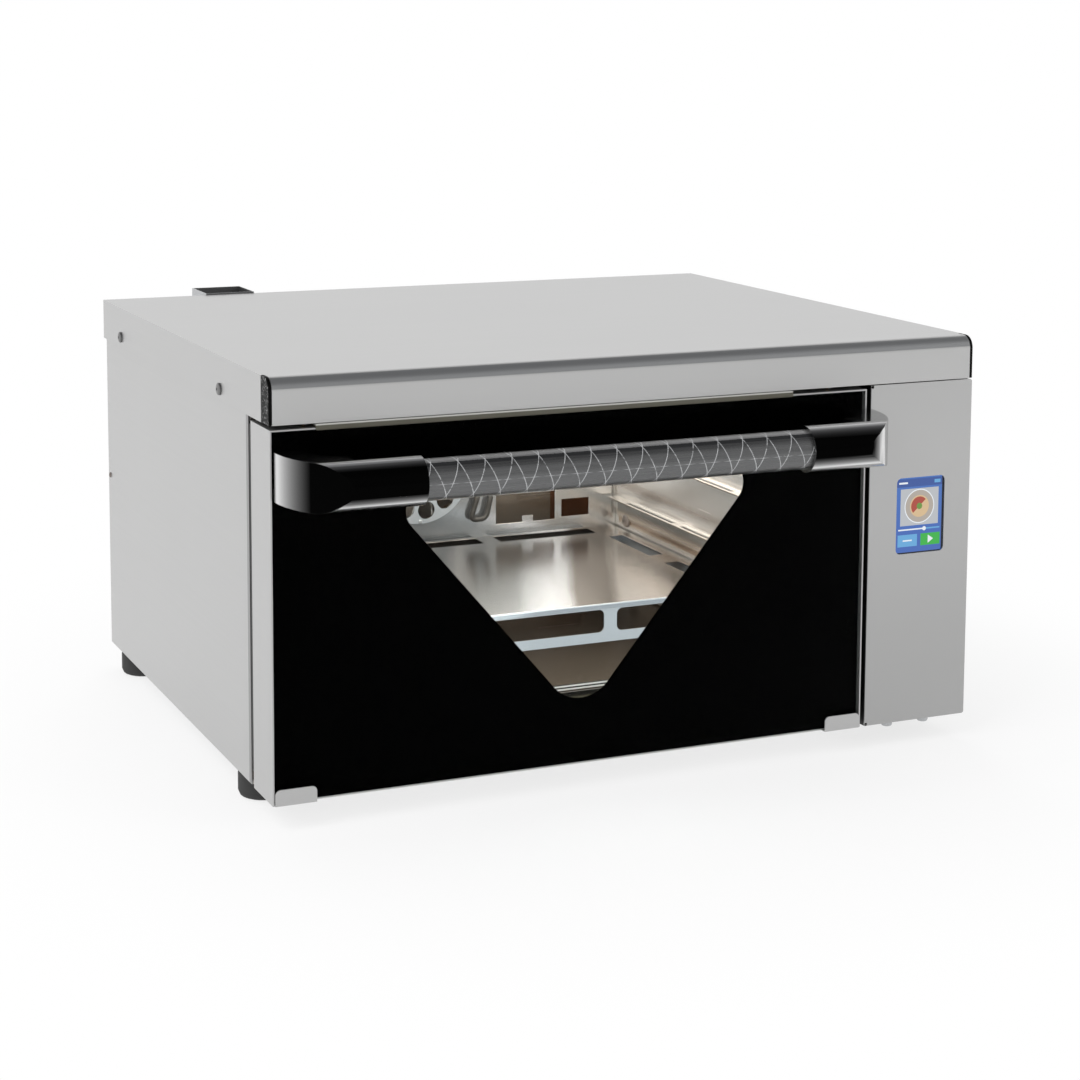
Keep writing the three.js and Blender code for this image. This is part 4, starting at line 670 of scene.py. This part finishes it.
screwLook = {"radius": 0.0043, "height": 0.0024, "rim": 0.0006, "flat": 0.0018, "socket": 0.0017,
             "socketDepth": 0.0012, "domeSteps": 5, "turns": 20}
smallScrew = {**screwLook, "radius": 0.0028, "height": 0.0015, "flat": 0.0011, "socket": 0.001,
              "socketDepth": 0.0007}
panScrew = {**screwLook, "radius": 0.0055, "height": 0.005, "rim": 0.003, "flat": 0.0035}
print("fasteners")
panelLow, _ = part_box("control_panel")
_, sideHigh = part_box("side_panel_left")
backLow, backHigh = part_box("back_panel")
panelScrews = {"across": (0.278, 0.3199), "setback": 0.008}
for i, x in enumerate(panelScrews["across"]):
    screwHead(f"panel_screw_{i + 1}", (x, panelLow.y + panelScrews["setback"], panelLow.z), (0, 0, -1),
              panScrew, "case", "plated_steel")
# the boxes of the side panels reach out to the cover screws, so their faces are found from inside
edgeScrews = {"heights": (0.2147,), "fromRear": 0.0085, "sheet": 0.0015}
sideFaces = (("left", -1, sideHigh.x - edgeScrews["sheet"]),
             ("right", 1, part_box("side_panel_right")[0].x + edgeScrews["sheet"]))
for side, sign, face in sideFaces:
    for i, z in enumerate(edgeScrews["heights"]):
        screwHead(f"edge_screw_{side}_{i + 1}", (face, sideHigh.y - edgeScrews["fromRear"], z), (sign, 0, 0),
                  smallScrew, "case", "heater_sheath")
rearScrews = {"margin": 0.012, "count": 5}
rearSpan = backHigh.x - backLow.x - 2 * rearScrews["margin"]
for row, z in (("low", backLow.z + rearScrews["margin"]), ("high", backHigh.z - rearScrews["margin"])):
    for i in range(rearScrews["count"]):
        x = backLow.x + rearScrews["margin"] + rearSpan * i / (rearScrews["count"] - 1)
        screwHead(f"rear_screw_{row}_{i + 1}", (x, backHigh.y, z), (0, 1, 0), smallScrew, "case",
                  "plated_steel")


# --- cavity fittings ---
linerSheet = 0.0015


def linerWall(sign):
    # inner face of a side wall of the cavity
    low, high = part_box("cavity_liner")
    return high.x - linerSheet if sign > 0 else low.x + linerSheet


def ringOfEdges(mesh, middle, radius, steps, height):
    ring = [mesh.verts.new((middle[0] + radius * math.cos(2 * math.pi * i / steps), height,
                            middle[1] + radius * math.sin(2 * math.pi * i / steps))) for i in range(steps)]
    return [mesh.edges.new((ring[i], ring[(i + 1) % steps])) for i in range(steps)]


def inletGuard(look):
    # a plate of round holes that stands on three posts before the fan inlet
    low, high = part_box("fan_shaft")
    middle = ((low.x + high.x) / 2, (low.z + high.z) / 2)
    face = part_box("air_baffle")[0].y
    mesh = bmesh.new()
    edges = ringOfEdges(mesh, middle, look["radius"], 72, face - look["standoff"])
    for i in range(look["holes"]):
        angle = 2 * math.pi * (i + look["phase"]) / look["holes"]
        at = (middle[0] + look["pitch"] * math.cos(angle), middle[1] + look["pitch"] * math.sin(angle))
        edges += ringOfEdges(mesh, at, look["hole"], 28, face - look["standoff"])
    edges += ringOfEdges(mesh, middle, look["bore"], 40, face - look["standoff"])
    bmesh.ops.triangle_fill(mesh, use_beauty=True, use_dissolve=True, edges=edges, normal=(0, -1, 0))
    bmesh.ops.solidify(mesh, geom=list(mesh.faces), thickness=look["thickness"])
    bmesh.ops.recalc_face_normals(mesh, faces=mesh.faces)
    toPiece("inlet_guard", mesh, "case", "cavity_steel", finishes["guard"])
    for i in range(look["posts"]):
        angle = 2 * math.pi * (i + look["postPhase"]) / look["posts"]
        at = (middle[0] + look["postRing"] * math.cos(angle), face,
              middle[1] + look["postRing"] * math.sin(angle))
        screwHead(f"guard_post_{i + 1}", at, (0, -1, 0), look["post"], "case", "plated_steel")


def bentWire(name, points, radius, body, slot, finish=None, steps=6):
    # a round wire along a path of bends, each bend rounded off
    sides, bend = 10, 2.5
    path = []
    for before, at, after in zip(points, points[1:], points[2:]):
        at, first, last = Vector(at), Vector(before), Vector(after)
        start = at + (first - at).normalized() * radius * bend
        end = at + (last - at).normalized() * radius * bend
        path += [start.lerp(at, t).lerp(at.lerp(end, t), t) for t in (i / steps for i in range(steps + 1))]
    path = [Vector(points[0])] + path + [Vector(points[-1])]
    mesh = bmesh.new()
    rings = []
    for i, at in enumerate(path):
        ahead = (path[min(i + 1, len(path) - 1)] - path[max(i - 1, 0)]).normalized()
        side = ahead.cross(Vector((0, 1, 0))).normalized() if abs(ahead.y) < 0.9 else Vector((1, 0, 0))
        over = side.cross(ahead).normalized()
        rings.append([mesh.verts.new(at + radius * (side * math.cos(a) + over * math.sin(a)))
                      for a in (2 * math.pi * k / sides for k in range(sides))])
    for first, second in zip(rings, rings[1:]):
        for k in range(sides):
            following = (k + 1) % sides
            mesh.faces.new((first[k], first[following], second[following], second[k]))
    mesh.faces.new(rings[0])
    mesh.faces.new(rings[-1][::-1])
    bmesh.ops.recalc_face_normals(mesh, faces=mesh.faces)
    return toPiece(name, mesh, body, slot, finish)


guardLook = {"radius": 0.06, "standoff": 0.012, "thickness": 0.0012, "holes": 12, "phase": 0.3,
             "pitch": 0.046, "hole": 0.0098, "bore": 0.02, "posts": 3, "postPhase": 0.25, "postRing": 0.0575,
             "post": {**smallScrew, "radius": 0.0022, "height": 0.0134, "rim": 0.0125, "flat": 0.0012}}
print("cavity fittings")
inletGuard(guardLook)
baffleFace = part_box("air_baffle")[0].y
# across, off the baffle, up
wirePath = ((0.0105, 0.0, 0.196), (0.0105, -0.007, 0.194), (0.001, -0.007, 0.166),
            (0.0195, -0.007, 0.166), (0.026, -0.007, 0.194), (0.026, 0.0, 0.196))
wireRadius = 0.003
bentWire("sensor_loop", [(x, baffleFace + y, z) for x, y, z in wirePath], wireRadius, "case",
         "heater_sheath", finish=finishes["sensor_sheath"])
wallBolt = {**screwLook, "radius": 0.0075, "height": 0.004, "rim": 0.001, "flat": 0.0015}
wallBoltPlace = (0.1176, 0.1546)
for side, sign in (("right", 1), ("left", -1)):
    screwHead(f"wall_bolt_{side}", (linerWall(sign), *wallBoltPlace), (-sign, 0, 0), wallBolt, "case",
              "heater_sheath")


# --- floor lip, inside the mouth of the cavity: two folds that glow as a painted highlight, with a dark strip between them as painted shade in the groove ---
def floorFold(name, look):
    low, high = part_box("cavity_liner")
    size = (high.x - low.x - look["sideGap"] * 2, look["depth"], look["height"])
    at = ((low.x + high.x) / 2, low.y + look["setback"], look["level"])
    mesh = bmesh.new()
    bmesh.ops.create_cube(mesh, size=1.0)
    bmesh.ops.scale(mesh, vec=size, verts=mesh.verts)
    bmesh.ops.translate(mesh, vec=at, verts=mesh.verts)
    toPiece(name, mesh, "case", look["slot"], finishes[look["look"]])


lipLook = {"sideGap": 0.02, "depth": 0.001, "height": 0.0013, "setback": 0.002, "slot": "cavity_steel",
           "look": "lip_edge"}
grooveLook = {**lipLook, "height": 0.0054, "setback": 0.0034, "level": 0.0773, "look": "sensor_sheath"}
floorFold("lip_fold_glow_upper", {**lipLook, "level": 0.0787})
floorFold("lip_fold_glow_lower", {**lipLook, "level": 0.0757})
floorFold("lip_groove_shade", grooveLook)


# --- painted shade in the door gaps: black seal strips ---
def shadeSealStrip(name, x, sign, look):
    # a black strip shaped as a lip seal, its outline extruded up the rear edge of the door, that stands for
    # the shade in the gap beside the door: painted shade
    low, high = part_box("door_shell")
    mesh = bmesh.new()
    face = mesh.faces.new([mesh.verts.new((x + sign * across, high.y + back, low.z + look["foot"]))
                           for across, back in look["outline"]])
    top = bmesh.ops.extrude_face_region(mesh, geom=[face])
    lifted = [v for v in top["geom"] if isinstance(v, bmesh.types.BMVert)]
    bmesh.ops.translate(mesh, verts=lifted, vec=(0, 0, high.z - low.z - look["foot"] - look["head"]))
    bmesh.ops.recalc_face_normals(mesh, faces=mesh.faces)
    return toPiece(name, mesh, "door", "foot_rubber")


shadeSealLook = {"foot": 0.014, "head": 0.004,
            "outline": ((0.0006, 0.0003), (0.0066, 0.0003), (0.0066, 0.003), (0.0048, 0.0058),
                        (0.0042, 0.0088), (0.0028, 0.0094), (0.0014, 0.0088), (0.0008, 0.0058))}
print("door seals")
shellLow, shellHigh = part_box("door_shell")
shadeSealStrip("door_shade_seal_left", shellLow.x, 1, shadeSealLook)
shadeSealStrip("door_shade_seal_right", shellHigh.x, -1, shadeSealLook)


# --- studio ---
print("studio")
floorMesh = bmesh.new()
bmesh.ops.create_grid(floorMesh, x_segments=2, y_segments=2, size=8.0)
floorData = bpy.data.meshes.new("floor")
floorMesh.to_mesh(floorData)
floorMesh.free()
floor = bpy.data.objects.new("floor", floorData)
bpy.context.scene.collection.objects.link(floor)

rayKinds = ("Is Camera Ray", "Is Glossy Ray", "Is Transmission Ray")
floorLook = {"shadow": 0.24, "paint": (0.85, 0.85, 0.85), "near": 0.35, "far": 0.85}
r = newRecipe("studioFloor")
path = r.node("ShaderNodeLightPath")
outputs = path.socket.node.outputs
seen = [Wire(r, outputs[name]) for name in rayKinds]
plain = r.node("ShaderNodeMath", {"operation": "ADD", "use_clamp": True}, {0: seen[0], 1: seen[1] + seen[2]})
distance = r.node("ShaderNodeVectorMath", {"operation": "LENGTH"}, {0: r.place()}, "Value")
shadow = (1 - r.step(distance, floorLook["near"], floorLook["far"])) * floorLook["shadow"]
paint = r.node("ShaderNodeBsdfDiffuse", inputs={"Color": (*floorLook["paint"], 1)})
glow = r.node("ShaderNodeEmission", inputs={"Color": (1, 1, 1, 1), "Strength": 1.0})
r.finish(r.node("ShaderNodeMixShader", inputs={0: plain * (1 - shadow), 1: paint, 2: glow}))
floorData.materials.append(r.owner)

world = bpy.data.worlds.new("studio")
bpy.context.scene.world = world
w = Recipe(world)
path = w.node("ShaderNodeLightPath")
outputs = path.socket.node.outputs
camera, glossy, clear = [Wire(w, outputs[name]) for name in rayKinds]
across, depth, up = w.axes(w.place("Generated"))
ceiling = w.step(up, 0.45, 0.85)
front = w.step(depth * -1, 0.3, 0.95)
studioLook = {"ceiling": (0.16, 0.16, 0.165), "front": (0.62, 0.62, 0.62), "soft": (0.5, 0.5, 0.505)}
mirror = w.mixed(ceiling, w.mixed(front, (1, 1, 1), studioLook["front"]), studioLook["ceiling"])
backdrop = w.mixed(camera, mirror, (1, 1, 1))
seen = w.node("ShaderNodeMath", {"operation": "ADD", "use_clamp": True}, {0: camera, 1: glossy + clear})
shown = w.mixed(seen, studioLook["soft"], backdrop)
sky = w.node("ShaderNodeBackground", inputs={"Color": shown, "Strength": 1.0})
w.node("ShaderNodeOutputWorld", inputs={"Surface": sky})


def areaLamp(name, at, target, size, power, warm=(1, 1, 1), mirrored=False):
    data = bpy.data.lights.new(name, "AREA")
    data.shape = "RECTANGLE"
    data.size, data.size_y = size
    data.energy = power
    data.color = warm
    lamp = bpy.data.objects.new(name, data)
    bpy.context.scene.collection.objects.link(lamp)
    lamp.location = at
    lamp.rotation_euler = (Vector(target) - Vector(at)).to_track_quat("-Z", "Y").to_euler()
    lamp.visible_camera = False
    lamp.visible_glossy = mirrored


linerLow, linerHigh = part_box("cavity_liner")
middle = (linerLow + linerHigh) / 2
ceilingRear = linerHigh.y - 0.03
areaLamp("keyLamp", (-2.6, -1.0, 3.0), (0, 0, 0.2), (2.4, 2.4), 90.0)
areaLamp("fillLamp", (2.4, -2.6, 1.8), (0, 0, 0.2), (2.0, 2.0), 24.0)
areaLamp("rearLamp", (0.5, 3.0, 2.6), (0, 0, 0.2), (2.4, 1.6), 50.0)
areaLamp("cavityLamp", (middle.x, -0.05, linerHigh.z - 0.008), (middle.x, -0.049, 0.0), (0.44, 0.32), 1.5,
         (1.0, 0.98, 0.95), True)
areaLamp("mouthLamp", (middle.x, linerLow.y + 0.012, 0.19), (middle.x, 0.3, 0.19), (0.46, 0.22), 0.28,
         (0.93, 0.97, 1.0), True)
areaLamp("underLamp", (middle.x, -0.03, 0.138), (middle.x, -0.029, 0.0), (0.42, 0.24), 0.14,
         (1.0, 0.84, 0.66), True)
areaLamp("plenumLamp", (middle.x, ceilingRear, linerHigh.z - 0.01), (middle.x, ceilingRear, 0.0),
         (0.4, 0.03), 0.4, (1.0, 0.7, 0.45), True)

cameraLook = {"at": (-0.96416, -2.22484, 0.72427), "lens": 78.354, "shiftUp": -0.22975,
              "right": (0.91444726, -0.40467692, 0.00477492), "up": (0.04345549, 0.10991287, 0.99299083),
              "back": (-0.40236529, -0.90783025, 0.11809496)}
cameraData = bpy.data.cameras.new("camera")
cameraData.lens = cameraLook["lens"]
cameraData.sensor_width = 36.0
cameraData.shift_y = cameraLook["shiftUp"]
cameraObject = bpy.data.objects.new("camera", cameraData)
bpy.context.scene.collection.objects.link(cameraObject)
turn = Matrix((cameraLook["right"], cameraLook["up"], cameraLook["back"])).transposed().to_4x4()
cameraObject.matrix_world = Matrix.Translation(cameraLook["at"]) @ turn
bpy.context.scene.camera = cameraObject
bpy.context.scene.view_settings.view_transform = "Standard"

print("done")
